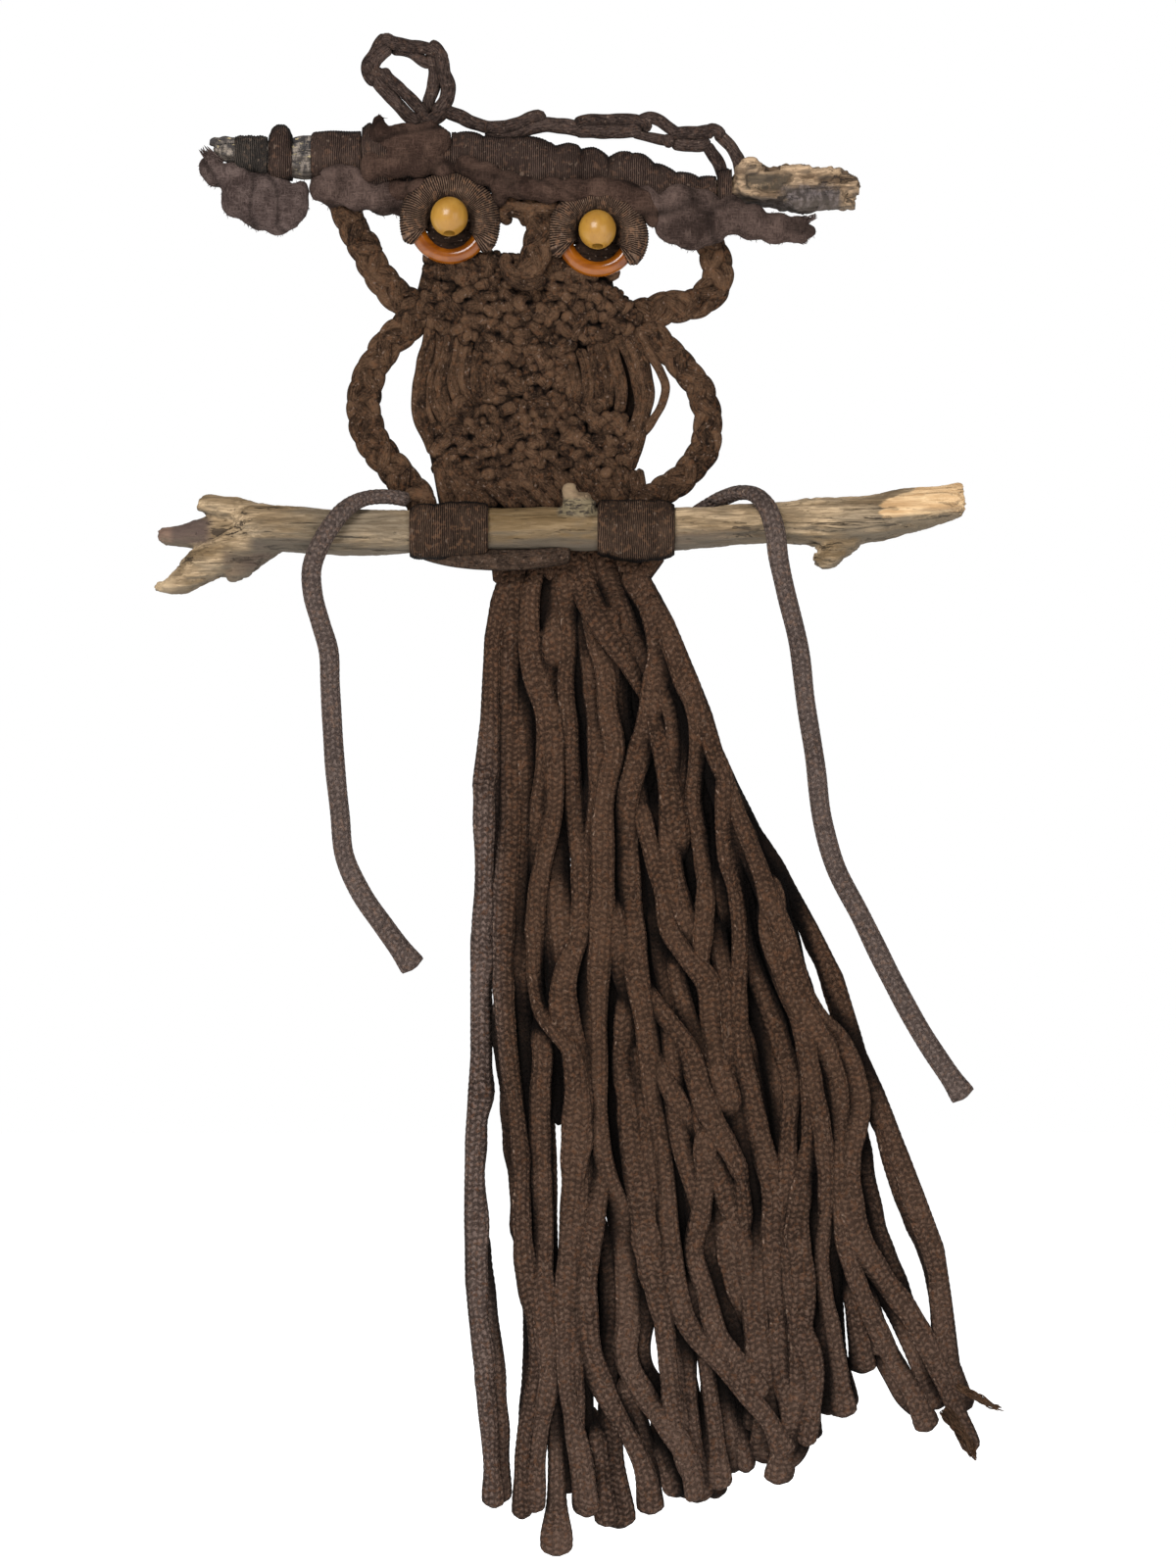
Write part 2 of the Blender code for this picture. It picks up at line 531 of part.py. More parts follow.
def slot_width(strand, level):
    """Width in millimetres of the open slot right of a strand, or 0 where the strands are knotted together."""
    for left_strand, first, last, widest in BODY_SLOTS:
        if strand == left_strand and first <= level <= last:
            return widest * math.sin(math.pi * (level - first) / (last - first))
    return 0.0


def slot_is_open(strand, cell):
    return any(strand == row[0] and row[1] <= cell < row[2] for row in BODY_SLOTS)


def body_points():
    """Front and back grids of the body: three points across each strand at every level."""
    edges = even_rows(BODY_EDGES, BODY_LEVELS + 1)
    front, back = [], []
    for level, (left_x, left_z, right_x, right_z, y) in enumerate(edges):
        pitch = (right_x - left_x) / BODY_STRANDS
        for strand in range(BODY_STRANDS):
            squeeze = [STRAND_GROOVE + slot_width(k, level) / 2 / pitch for k in (strand - 1, strand)]
            for share, half in ((squeeze[0], STRAND_EDGE), (0.5, STRAND_CROWN), (1 - squeeze[1], STRAND_EDGE)):
                u = (strand + share) / BODY_STRANDS
                x = left_x + u * (right_x - left_x)
                z = left_z + u * (right_z - left_z)
                lift = knot_lift(strand + share, level)
                front.append((x, y - half - lift, z))
                back.append((x, y + half + lift / 3, z))
    return front, back


def make_body():
    """The knotted body, with slots between its loose strands, fused with the four wing sinnets."""
    front, back = body_points()
    across = 3 * BODY_STRANDS
    shift = len(front)

    def solid(level, column):
        inside = 0 <= level < BODY_LEVELS and 0 <= column < across - 1
        return inside and not (column % 3 == 2 and slot_is_open(column // 3, level))

    faces = []
    for level in range(BODY_LEVELS):
        for column in range(across - 1):
            if not solid(level, column):
                continue
            a, b = level * across + column, level * across + column + 1
            c, d = b + across, a + across
            faces.append((a, b, c, d))
            faces.append((d + shift, c + shift, b + shift, a + shift))
            rims = ((a, b, level - 1, column), (b, c, level, column + 1), (c, d, level + 1, column),
                    (d, a, level, column - 1))
            for start, end, next_level, next_column in rims:
                if not solid(next_level, next_column):
                    faces.append((end, start, start + shift, end + shift))
    body = mesh_object("owl_body", front + back, faces, "cord")
    fuse(body, [sinnet(name, route, WING_SIDES) for name, route in WINGS.items()])


def sinnet(name, route, sides, finish=None):
    """A chain of square knots: a thick band that swells and narrows with each half knot."""
    rows = even_rows(route, max(4, round(route_length(route) / SINNET_STEP)))

    def swell(step, angle):
        return 1 + SINNET_RIDGE * (-1) ** step * (1 if math.cos(angle) > 0 else -1) * abs(math.cos(angle))

    return loft(name, rings_along(rows, sides, swell, start_angle=TURN / sides / 2), finish)


def make_beak():
    beak = sinnet("beak", BEAK, BEAK_SIDES, "cord")
    bar = loft("beak_bar", rings_along(even_rows(BEAK_BAR, 5), BEAK_SIDES, start_angle=0.3))
    fuse(beak, [bar])


def make_tufts():
    for name, route in TUFTS.items():
        def swell(step, angle):
            return 1 + TUFT_LUMP * math.sin(2.1 * step + 3 * angle) * math.cos(1.3 * step - 2 * angle)

        loft(name, rings_along(even_rows(route, TUFT_STEPS), TUFT_SIDES, swell), "fibre")


def make_hanger():
    """The loop of two twisted strands, and the crocheted chain that ties it to the branch."""
    def twist(step, angle):
        return 1 + TWIST_RIDGE * math.cos(2 * angle + TURN * step / 5)

    loop_rows = even_rows(LOOP_ROUTE, LOOP_STEPS, closed=True)
    loft("hanger_loop", rings_along(loop_rows, LOOP_SIDES, twist, closed=True), "cord", closed=True)

    def links(step, angle):
        return 1 + TWIST_RIDGE * math.cos(angle + TURN * step / 4)

    chain = loft("hanger_chain", rings_along(even_rows(CHAIN_ROUTE, CHAIN_STEPS), CHAIN_SIDES, links), "cord")
    helpers = [loft("chain_link", rings_along(even_rows(CHAIN_LINK_ROUTE, 8), CHAIN_SIDES, start_angle=0.3))]
    for number, (x, z, half_length, half_height, slope, thick) in enumerate(CHAIN_EYELETS):
        rows = []
        for turn in np.arange(EYELET_STEPS) * TURN / EYELET_STEPS:
            along, up = half_length * math.cos(turn), half_height * math.sin(turn)
            rows.append((x + along * math.cos(slope) - up * math.sin(slope), 0,
                         z + along * math.sin(slope) + up * math.cos(slope), thick, thick))
        helpers.append(loft(f"chain_eyelet_{number}", rings_along(rows, CHAIN_SIDES, closed=True), closed=True))
    fuse(chain, helpers)


def make_perch_band():
    def turns(step, angle):
        return 1 + 0.06 * math.cos(3 * angle)

    loft("perch_band", rings_along(even_rows(PERCH_BAND, BAND_STEPS), HEAD_SIDES, turns), "cord")


def tail_cord_rings(layer, end_z, places):
    """Flat sections of one tail cord, from its root in the head to its cut end."""
    y = TAIL_LAYERS[layer]
    rows = [(places[0], y, ROOT_Z, ROOT_WIDTH / 2, CORD_THICK / 2)]
    for x, z in zip(places, TAIL_HEIGHTS):
        if z > end_z + CORD_WIDTH:
            width = ROOT_WIDTH if z == TAIL_HEIGHTS[0] else CORD_WIDTH
            rows.append((x, y, z, width / 2, CORD_THICK / 2))
    drift = (rows[-1][0] - rows[-2][0]) / (rows[-1][2] - rows[-2][2])
    rows.append((rows[-1][0] + drift * (end_z - rows[-1][2]), y, end_z, CORD_WIDTH / 2, CORD_THICK / 2))
    corner = math.sqrt(2)
    rows = even_rows(rows, TAIL_STEPS) * np.array((1, 1, 1, corner, corner))
    return rings_along(rows, 4, start_angle=TURN / 8)


def hidden_cords():
    """Layer, end and places of each cord behind the front ones."""
    for number in range(HIDDEN_CORDS):
        share = number / (HIDDEN_CORDS - 1)
        places = []
        for height, left, right in zip(TAIL_HEIGHTS, TAIL_LEFT, TAIL_RIGHT):
            sway = 0 if height == TAIL_HEIGHTS[0] else SWAY * math.sin(2.4 * number + 0.03 * height)
            places.append(left + share * (right - left) + sway)
        end_z = np.interp(places[-1], *zip(*TAIL_ENDS)) + END_STEP * (-1) ** number
        yield HIDDEN_LAYERS[number % len(HIDDEN_LAYERS)], end_z, places


def make_tail():
    """The tail's cords, rooted in a head of gathered cord that goes up behind the perch."""
    points, faces = [], []
    cords = [("front", end_z, places) for end_z, *places in FRONT_CORDS] + list(hidden_cords())
    for layer, end_z, places in cords:
        rings = tail_cord_rings(layer, end_z, places)
        base = len(points)
        for step in range(len(rings) - 1):
            faces += wall(base + step * 4, base + (step + 1) * 4, 4)
        last = base + (len(rings) - 1) * 4
        faces += [tuple(range(base, base + 4)), tuple(range(last, last + 4))]
        points.extend(np.vstack(rings))
    strands = mesh_object("tail_cords", points, faces)
    neck = loft("tail_neck", rings_along(TAIL_NECK, HEAD_SIDES, start_angle=0.1))
    tail = loft("tail", rings_along(even_rows(TAIL_HEAD, HEAD_STEPS), HEAD_SIDES, start_angle=0.2), "cord")
    fuse(tail, [neck, strands])


def make_loose_cord(name, route):
    """A free cord: a round tube on a smooth route."""
    points = even_rows(route, round(route_length(route) / LOOSE_SPACING)) * MM
    curve = bpy.data.curves.new(name, "CURVE")
    curve.dimensions = "3D"
    curve.bevel_depth = LOOSE_WIDTH / 2 * MM
    curve.bevel_resolution = 2
    curve.use_fill_caps = True
    line = curve.splines.new("POLY")
    line.points.add(len(points) - 1)
    for slot, point in zip(line.points, points):
        slot.co = (*point, 1)
    cord = bpy.data.objects.new(name, curve)
    bpy.context.scene.collection.objects.link(cord)
    colour(cord, "cord")


def main():
    clear_scene()
    make_sticks()
    for side, (x, z) in EYES.items():
        make_eye(side, x, z)
    make_body()
    make_beak()
    make_tufts()
    make_hanger()
    make_perch_band()
    make_tail()
    for name, route in LOOSE_CORDS.items():
        make_loose_cord(name, route)


main()
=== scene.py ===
"""A knotted owl on two driftwood sticks, dressed for the camera.

Lengths are in millimetres until a mesh is made.
"""
import math
import random

import bmesh
import bpy
import numpy as np
from mathutils import Euler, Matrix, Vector, noise


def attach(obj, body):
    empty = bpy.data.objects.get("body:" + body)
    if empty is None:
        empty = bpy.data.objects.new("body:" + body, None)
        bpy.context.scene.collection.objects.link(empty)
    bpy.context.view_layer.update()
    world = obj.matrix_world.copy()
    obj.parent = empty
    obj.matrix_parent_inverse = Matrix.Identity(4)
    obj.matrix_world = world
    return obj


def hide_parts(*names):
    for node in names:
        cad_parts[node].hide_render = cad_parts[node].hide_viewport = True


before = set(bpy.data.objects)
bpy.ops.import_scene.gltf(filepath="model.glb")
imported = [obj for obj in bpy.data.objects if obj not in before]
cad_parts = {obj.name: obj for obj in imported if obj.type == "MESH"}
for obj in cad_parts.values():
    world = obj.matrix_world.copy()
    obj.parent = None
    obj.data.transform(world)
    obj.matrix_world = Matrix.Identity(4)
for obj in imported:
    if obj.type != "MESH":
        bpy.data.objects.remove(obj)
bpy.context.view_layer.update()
MM = 0.001
random.seed(7)

# The camera looks straight on at the middle of the picture, 504 by 672 mm of the hanging.
PICTURE = (0.0756, -0.008, -0.312)
PICTURE_HEIGHT = 0.672
CAMERA_AWAY = 2.4
FACE_ON = (0, -1, 0)

# Free cords: x, y, z down the middle of each.
LOOSE_CORDS = {
    "loose_cord_left": ((-0.9, -2, -190), (-10, -2.2, -188.6), (-20, -3.6, -189.4), (-27.6, -9, -193.6),
                        (-33.8, -13.4, -201),
                        (-38.8, -15.2, -209.6), (-42.4, -15, -219.6), (-42, -14, -231), (-38.8, -13, -243),
                        (-35.4, -12, -255), (-34.8, -11, -269), (-33.8, -10.4, -288), (-32.6, -10, -306),
                        (-30.6, -10, -325), (-28.6, -10, -343), (-22, -10, -358), (-11, -10, -374),
                        (1.4, -10, -391)),
    "loose_cord_right": ((114.2, 13.4, -197.6), (119.5, 13.6, -197.4), (126.5, 11.6, -193), (133.5, 6, -189),
                         (141, 0, -186.7), (147.6, -6.6, -188.2), (152.4, -12, -194), (155.4, -13.8, -203),
                         (157, -13.6, -215), (160, -13, -229), (165.8, -12, -253), (168.8, -11, -277),
                         (172.8, -10.4, -302), (176.1, -10, -328), (181.4, -10, -347), (192.6, -10, -369),
                         (204.4, -10, -393), (218, -10, -418), (237, -10, -446.6)),
}
LOOSE_WIDTH = 8.4
LOOSE_THICK = 6.4

# Where the photo's pixels lie: one is 0.42 mm, because the 16 mm bead is 38 of them across.
PIXEL = 0.42
PIXEL_ORIGIN = (420, 57)
# A tail cord picked from this height, under the perch, is led a little further up behind it.
PERCH_EDGE = (560, 596)
LED_UP = 15  # pixels up
LED_ASIDE = 0.3  # of its first step to the side

# Tail cords, in photo pixels down each one, the deepest first.
TAIL_UNDER = (
    ((537, 640), (537, 733), (538, 777), (534, 860), (533, 911), (529, 960), (533, 1030), (540, 1100),
     (541, 1250), (543, 1350), (540, 1430), (537, 1528)),
    ((591, 640), (593, 712), (604, 744), (607, 777), (601, 840), (597, 880), (600, 960), (596, 1060),
     (594, 1180), (606, 1240), (619, 1290), (622, 1340), (619, 1390), (623, 1463), (626, 1520),
     (634, 1565)),
    ((640, 760), (664, 860), (672, 960), (690, 1060), (700, 1180), (715, 1290), (727, 1360), (728, 1426),
     (723, 1471), (732, 1532)),
    ((660, 800), (690, 900), (712, 1000), (735, 1100), (745, 1200), (752, 1300), (757, 1380), (757, 1456),
     (762, 1508)),
    ((700, 640), (718, 720), (742, 790), (775, 860), (797, 940), (812, 992), (830, 1044), (858, 1098),
     (874, 1150), (887, 1219), (901, 1268), (915, 1305), (930, 1345), (950, 1400)),
    ((672, 900), (680, 1000), (687, 1090), (690, 1128), (697, 1166), (705, 1204), (725, 1270), (742, 1340),
     (760, 1400), (781, 1458)),
    ((620, 900), (640, 1000), (668, 1080), (700, 1140), (730, 1190), (740, 1238), (743, 1275), (753, 1324),
     (769, 1362), (776, 1392)),
    ((648, 1040), (655, 1140), (668, 1230), (690, 1300), (700, 1380), (705, 1450), (717, 1523)),
    ((770, 1000), (790, 1100), (800, 1180), (815, 1260), (822, 1340), (825, 1400), (822, 1473)),
    ((715, 900), (735, 1000), (765, 1090), (776, 1180), (780, 1260), (778, 1340), (785, 1420), (791, 1478)),
    ((556, 640), (556, 760), (552, 900), (566, 1010), (590, 1100), (597, 1200), (583, 1300), (577, 1400),
     (580, 1528)),
    ((690, 620), (712, 690), (735, 760), (760, 840), (790, 930), (815, 1010), (838, 1080), (846, 1150),
     (850, 1230), (853, 1310), (858, 1390), (867, 1443)),
    ((690, 930), (700, 990), (706, 1040), (712, 1130), (738, 1210), (764, 1290), (768, 1380), (770, 1463)),
    ((600, 600), (602, 640), (608, 700), (612, 800), (607, 900), (603, 1000), (600, 1100), (606, 1180)),
    ((560, 900), (570, 960), (572, 1010), (566, 1060)),
    ((735, 860), (730, 930), (741, 1010), (748, 1090), (760, 1180), (775, 1260), (772, 1350), (783, 1440),
     (783, 1498)),
    ((668, 1250), (674, 1300), (681, 1350), (688, 1400), (693, 1446), (698, 1490), (704, 1532)),
    ((735, 1340), (740, 1400), (743, 1440), (748, 1508)),
    ((836, 1150), (833, 1200), (835, 1260), (838, 1330), (842, 1400), (849, 1448)),
    ((700, 1280), (712, 1340), (722, 1400), (729, 1460), (734, 1523)),
    ((610, 740), (612, 800), (607, 860), (603, 920)),
    ((577, 690), (574, 780), (571, 860), (573, 940), (576, 1000), (574, 1060)),
    ((708, 700), (716, 760), (722, 820), (724, 880), (722, 940)),
    ((507, 620), (505, 700), (504, 780), (503, 860), (504, 925), (509, 962)),
    ((511, 1010), (514, 1060), (519, 1110), (525, 1160), (531, 1210), (534, 1290)),
    ((862, 1240), (872, 1290), (880, 1340), (885, 1390)),
    ((868, 1225), (892, 1300), (920, 1352), (945, 1402), (962, 1440)),
    ((631, 1394), (640, 1425), (651, 1448), (664, 1485), (676, 1522)),
    ((490, 1240), (498, 1360), (504, 1420), (508, 1470), (511, 1538)),
    ((897, 1150), (910, 1185), (920, 1215), (934, 1245), (949, 1275), (959, 1313), (961, 1350),
     (963, 1388), (967, 1420)),
    ((866, 1290), (872, 1340), (879, 1380), (882, 1404)),
    ((880, 1300), (891, 1345), (903, 1385)),
    ((562, 1020), (566, 1060), (568, 1100), (569, 1150)),
    ((530, 556), (531, 585), (529, 612)),
    ((546, 552), (545, 585), (543, 615)),
    ((580, 546), (583, 570), (585, 600)),
    ((562, 548), (561, 590)),
    ((668, 1450), (678, 1480), (688, 1512), (694, 1530)),
    ((606, 1440), (612, 1500), (620, 1562)),
    ((566, 640), (566, 700), (566, 765)),
    ((690, 955), (694, 1010), (704, 1045), (716, 1082), (722, 1125)),
    ((754, 1175), (759, 1225), (762, 1275)),
    ((738, 865), (742, 913), (748, 965)),
)
TAIL_CORDS = (
    ((730, 755), (742, 820), (752, 880), (761, 957), (774, 1003), (789, 1039), (802, 1077), (807, 1102),
     (806, 1150), (803, 1210), (806, 1290), (812, 1370), (823, 1438)),
    ((710, 700), (722, 755), (737, 809), (758, 853), (776, 898), (794, 936), (803, 987), (812, 1026),
     (822, 1064), (826, 1115), (827, 1166), (818, 1215), (814, 1256), (820, 1313), (817, 1358),
     (829, 1396), (822, 1478)),
    ((706, 690), (722, 745), (740, 785), (756, 810), (770, 835), (797, 890), (814, 918), (831, 948),
     (848, 978), (860, 1007), (868, 1038), (876, 1071), (889, 1096), (903, 1122), (915, 1151), (924, 1182),
     (933, 1210), (946, 1240), (962, 1272), (968, 1313), (970, 1350), (975, 1388), (981, 1420),
     (985, 1444)),
    ((780, 900), (789, 960), (802, 1000), (815, 1030), (823, 1056), (828, 1090), (834, 1127), (842, 1170),
     (845, 1238), (840, 1275), (844, 1332), (848, 1362), (855, 1411), (862, 1451)),
    ((770, 880), (786, 915), (790, 950), (799, 984), (811, 1016), (826, 1042), (842, 1070), (853, 1100),
     (858, 1150), (857, 1220), (863, 1270), (879, 1320), (897, 1358), (916, 1396), (935, 1426),
     (950, 1465)),
    ((700, 640), (714, 685), (724, 725), (733, 765), (745, 808), (760, 850), (775, 885), (786, 922),
     (799, 949), (809, 984), (821, 1016), (839, 1044), (858, 1066), (870, 1096), (876, 1132), (867, 1180),
     (867, 1219), (880, 1268), (902, 1305), (929, 1343), (951, 1380), (966, 1411), (980, 1445),
     (995, 1486)),
    ((554, 1060), (556, 1150), (557, 1240), (560, 1330), (565, 1400), (568, 1480), (568, 1592)),
    ((525, 578), (522, 610), (520, 668), (521, 755), (519, 842), (515, 911), (514, 987), (516, 1038),
     (521, 1090), (526, 1141), (531, 1191), (532, 1240), (537, 1300), (551, 1380), (547, 1420),
     (536, 1460), (532, 1554)),
    ((640, 1000), (640, 1059), (636, 1090), (639, 1115), (644, 1166), (654, 1217), (659, 1256),
     (665, 1298), (676, 1345), (682, 1388), (686, 1433), (693, 1475), (722, 1533)),
    ((726, 1130), (720, 1165), (720, 1200), (716, 1240), (709, 1275), (719, 1320), (731, 1362),
     (755, 1396), (775, 1431)),
    ((568, 572), (568, 620), (566, 655), (563, 700)),
    ((618, 566), (627, 605), (640, 635), (654, 660), (668, 685), (684, 720), (690, 760), (684, 800),
     (684, 850), (686, 890), (696, 924), (711, 962), (722, 990)),
    ((675, 566), (693, 606), (708, 650), (720, 700), (732, 745), (738, 790), (740, 830), (742, 870),
     (751, 911), (756, 962), (753, 1013), (756, 1064), (763, 1102), (769, 1140), (779, 1179), (791, 1217),
     (792, 1250), (791, 1294), (795, 1350), (799, 1407), (810, 1441), (800, 1485), (794, 1520)),
    ((660, 566), (678, 606), (694, 650), (703, 700), (712, 735), (713, 766), (708, 820), (716, 860),
     (720, 911), (718, 949), (716, 985), (726, 1030)),
    ((652, 800), (656, 830), (665, 868), (677, 911), (685, 949), (702, 977), (722, 1003), (728, 1038),
     (733, 1077), (741, 1115), (752, 1160)),
    ((580, 572), (583, 614), (582, 647), (578, 701), (582, 744), (585, 798), (588, 842), (593, 885),
     (594, 911), (592, 955), (580, 985), (574, 1010), (577, 1040), (585, 1065), (590, 1090), (592, 1140),
     (590, 1200), (588, 1300), (586, 1400), (590, 1480), (597, 1538)),
    ((615, 1150), (612, 1200), (606, 1240), (598, 1280), (595, 1332), (603, 1388), (622, 1433),
     (644, 1471), (659, 1503), (666, 1549)),
    ((545, 1030), (554, 1072), (552, 1115), (552, 1166), (554, 1240), (554, 1290), (556, 1350),
     (560, 1407), (551, 1463), (545, 1548)),
    ((513, 578), (506, 606), (501, 640), (499, 690), (497, 733), (494, 798), (493, 860), (494, 911),
     (491, 962), (483, 1003), (488, 1049), (488, 1090), (484, 1141), (483, 1240), (481, 1290), (485, 1350),
     (496, 1426), (502, 1493), (503, 1542)),
    ((550, 570), (541, 600), (538, 636), (543, 679), (557, 723), (563, 777), (562, 830), (556, 870),
     (549, 911), (547, 962), (547, 1000), (553, 1033), (568, 1055), (581, 1072), (587, 1092), (588, 1120),
     (586, 1170), (585, 1220), (580, 1290), (576, 1350), (577, 1400), (584, 1450), (593, 1500),
     (599, 1553)),
    ((600, 620), (608, 650), (618, 682), (621, 723), (626, 766), (620, 798), (615, 831), (616, 870),
     (616, 911), (613, 962), (611, 1003), (610, 1064), (610, 1115), (613, 1166), (621, 1204), (633, 1240),
     (641, 1294), (641, 1350), (638, 1388), (659, 1426), (682, 1456), (701, 1486), (712, 1532)),
    ((590, 566), (594, 590), (604, 616), (617, 640), (635, 664), (654, 690), (664, 708), (673, 745),
     (681, 790), (690, 835), (697, 880)),
    ((650, 990), (662, 1018), (684, 1046), (704, 1075), (716, 1115), (731, 1153), (748, 1182), (766, 1224)),
    ((642, 566), (657, 600), (670, 635), (675, 665), (671, 700), (662, 735), (650, 775), (642, 809),
     (640, 850), (641, 911), (646, 962), (654, 1013), (659, 1038), (662, 1077), (665, 1115), (674, 1166),
     (679, 1210), (683, 1256), (690, 1313), (702, 1350), (731, 1388), (761, 1422), (784, 1450),
     (804, 1489)),
)
# The tail's sides, in photo pixels: a point where each one turns. The first two on the left and the first
# on the right are behind the perch, and the last of each is left loose, past the ends of the cords.
TAIL_LEFT_SIDE = ((439, 567), (491, 578), (508, 590), (500, 615), (494, 650), (490, 735), (481, 806),
                  (484, 910), (480, 960), (480, 1080), (474, 1165), (473, 1310), (484, 1400), (482, 1533))
TAIL_RIGHT_SIDE = ((678, 567), (662, 588), (688, 637), (718, 710), (727, 732), (737, 766), (754, 804),
                   (778, 852), (801, 886), (836, 948), (862, 1000), (874, 1040), (886, 1080), (904, 1118),
                   (936, 1200), (965, 1278), (983, 1398), (1039, 1533))

LONE_CORDS = (2, 3, 5, 6, 7, 16, 17, 18, 19)  # tail cords with daylight beside them
# Ends that have frayed: how thick, and the way they run.
FRAYED = (
    (2.6, ((228, -6, -580), (234, -6, -588), (239.5, -5.6, -597), (242.5, -5, -603.4))),
    (1.2, ((234, -5, -570), (240, -5, -573.6), (246, -4.6, -577), (252, -4, -580), (255.6, -4, -580.6))),
)

# Loose strands down the belly, and the cords gathered under it, in photo pixels.
BELLY = (
    ((438.5, 330), (434.5, 352), (428.5, 378), (425.5, 405), (428.5, 425), (435.5, 444), (442.5, 462)),
    ((445.5, 332), (441.5, 358), (434.5, 388), (433.5, 410), (439.5, 430), (449.5, 448)),
    ((453.5, 334), (449.5, 360), (442.5, 384), (442.5, 404), (448.5, 422), (459.5, 438)),
    ((460, 338), (456, 362), (450, 386), (452, 406), (462, 420), (474, 430)),
    ((469, 338), (466, 360), (461, 384), (465, 404), (476, 418)),
    ((478, 344), (476, 366), (473, 388), (479, 406), (490, 418)),
    ((487, 354), (485, 376), (485, 396), (492, 412)),
    ((495, 362), (495, 382), (497, 400), (504, 414)),
    ((503, 368), (501, 386), (502, 402), (507, 414)),
    ((572, 368), (577, 382), (576, 400), (572, 416)),
    ((581, 364), (587, 382), (588, 400), (584, 418)),
    ((592, 354), (598, 370), (600, 394), (594, 418)),
    ((604, 346), (607, 366), (611, 390), (612, 416)),
    ((610, 342), (616, 362), (621, 386), (622, 414)),
    ((619, 340), (625, 358), (631, 380), (634, 402), (632, 420)),
    ((636, 336), (650, 362), (657, 388), (660, 410), (656, 430), (650, 453), (641, 474)),
    ((630, 338), (642, 360), (650, 384), (655, 406), (650, 428), (642, 450), (634, 470)),
    ((643, 334), (653, 358), (660, 382), (663, 398), (660, 416), (651, 434), (642, 456)),
    ((651, 334), (662, 358), (673, 378), (679, 394), (676, 410), (664, 430), (650, 448), (640, 462)),
)
FANS = (
    ((452, 462), (458, 478), (470, 496), (478, 514)),
    ((468, 480), (474, 492), (488, 505), (500, 516)),
    ((488, 482), (498, 494), (514, 508), (526, 518)),
    ((506, 480), (518, 492), (534, 506), (546, 518)),
    ((524, 478), (536, 490), (552, 506), (566, 518)),
    ((542, 476), (552, 488), (566, 502), (580, 516)),
    ((562, 474), (572, 486), (584, 500), (596, 514)),
    ((584, 474), (592, 486), (602, 500), (612, 516)),
    ((606, 474), (610, 488), (614, 502), (620, 516)),
    ((630, 474), (632, 488), (636, 502), (644, 516)),
    ((646, 478), (648, 490), (650, 502), (656, 514)),
    ((462, 500), (458, 508), (452, 516)),
    ((446, 468), (449, 486), (453, 503), (457, 518)),
    ((452, 470), (462, 488), (468, 503), (470, 518)),
    ((480, 478), (477, 495), (473, 508), (470, 518)),
    ((494, 480), (488, 497), (483, 508), (480, 518)),
    ((652, 497), (646, 507), (640, 518)),
    ((640, 480), (634, 498), (630, 508), (626, 518)),
)

# Hanging loop and the chain to the branch: each strand's y, half thickness and its x, z.
LOOP_STRANDS = (
    (-1.2, 2.9, ((-11.9, 8.4), (-7.8, 6.6), (-2, 5.3), (4.4, 4.7), (9.7, 3.4), (12.8, 1.2))),
    (1, 2.4, ((-9.3, 3.9), (-3.1, 3.4), (1.9, 1.5), (5.6, -1), (9.1, -3.1))),
    (-1.2, 3.1, ((7.7, 5.7), (11.4, 3.9), (14, -0.8), (14.9, -6.6), (16.8, -12.5), (16.1, -17.7),
     (13.2, -21.6), (10.8, -24.7))),
    (1, 2.8, ((8.2, 2.7), (10, -3.1), (10.6, -9.5), (9.3, -15), (7.9, -19.5), (9.7, -23.5))),
    (-1.2, 2.8, ((-13.3, -4.5), (-10.2, -9.5), (-4.3, -14.6), (2.1, -20), (7.9, -24.7))),
    (0.8, 3.1, ((-16.8, -6.6), (-13.1, -13), (-7.2, -19.5), (-0.8, -25.5), (6.8, -28.3))),
    (0.6, 2.9, ((-10.7, 9.9), (-14.5, 5.6), (-16.8, 1), (-19.6, -2.9), (-18.4, -7.8), (-15.2, -11.9))),
    (-1, 2.6, ((-9.3, 4.8), (-12.8, 1.8), (-16, -1.4), (-17, -5.2), (-12.1, -7.3))),
    (-2, 3.1, ((-20.5, -1.7), (-18.9, -4.1), (-17, -6.2))),
    (-1.8, 2.7, ((-13.3, 7.9), (-10.7, 8.1), (-7.9, 6.9))),
    (-1.6, 3.3, ((3.7, -23), (7.7, -27.2), (11.7, -25.5), (15.2, -22))),
    (-2, 2.5, ((11.7, 2.7), (14.2, 1.3), (14.9, -2))),
)

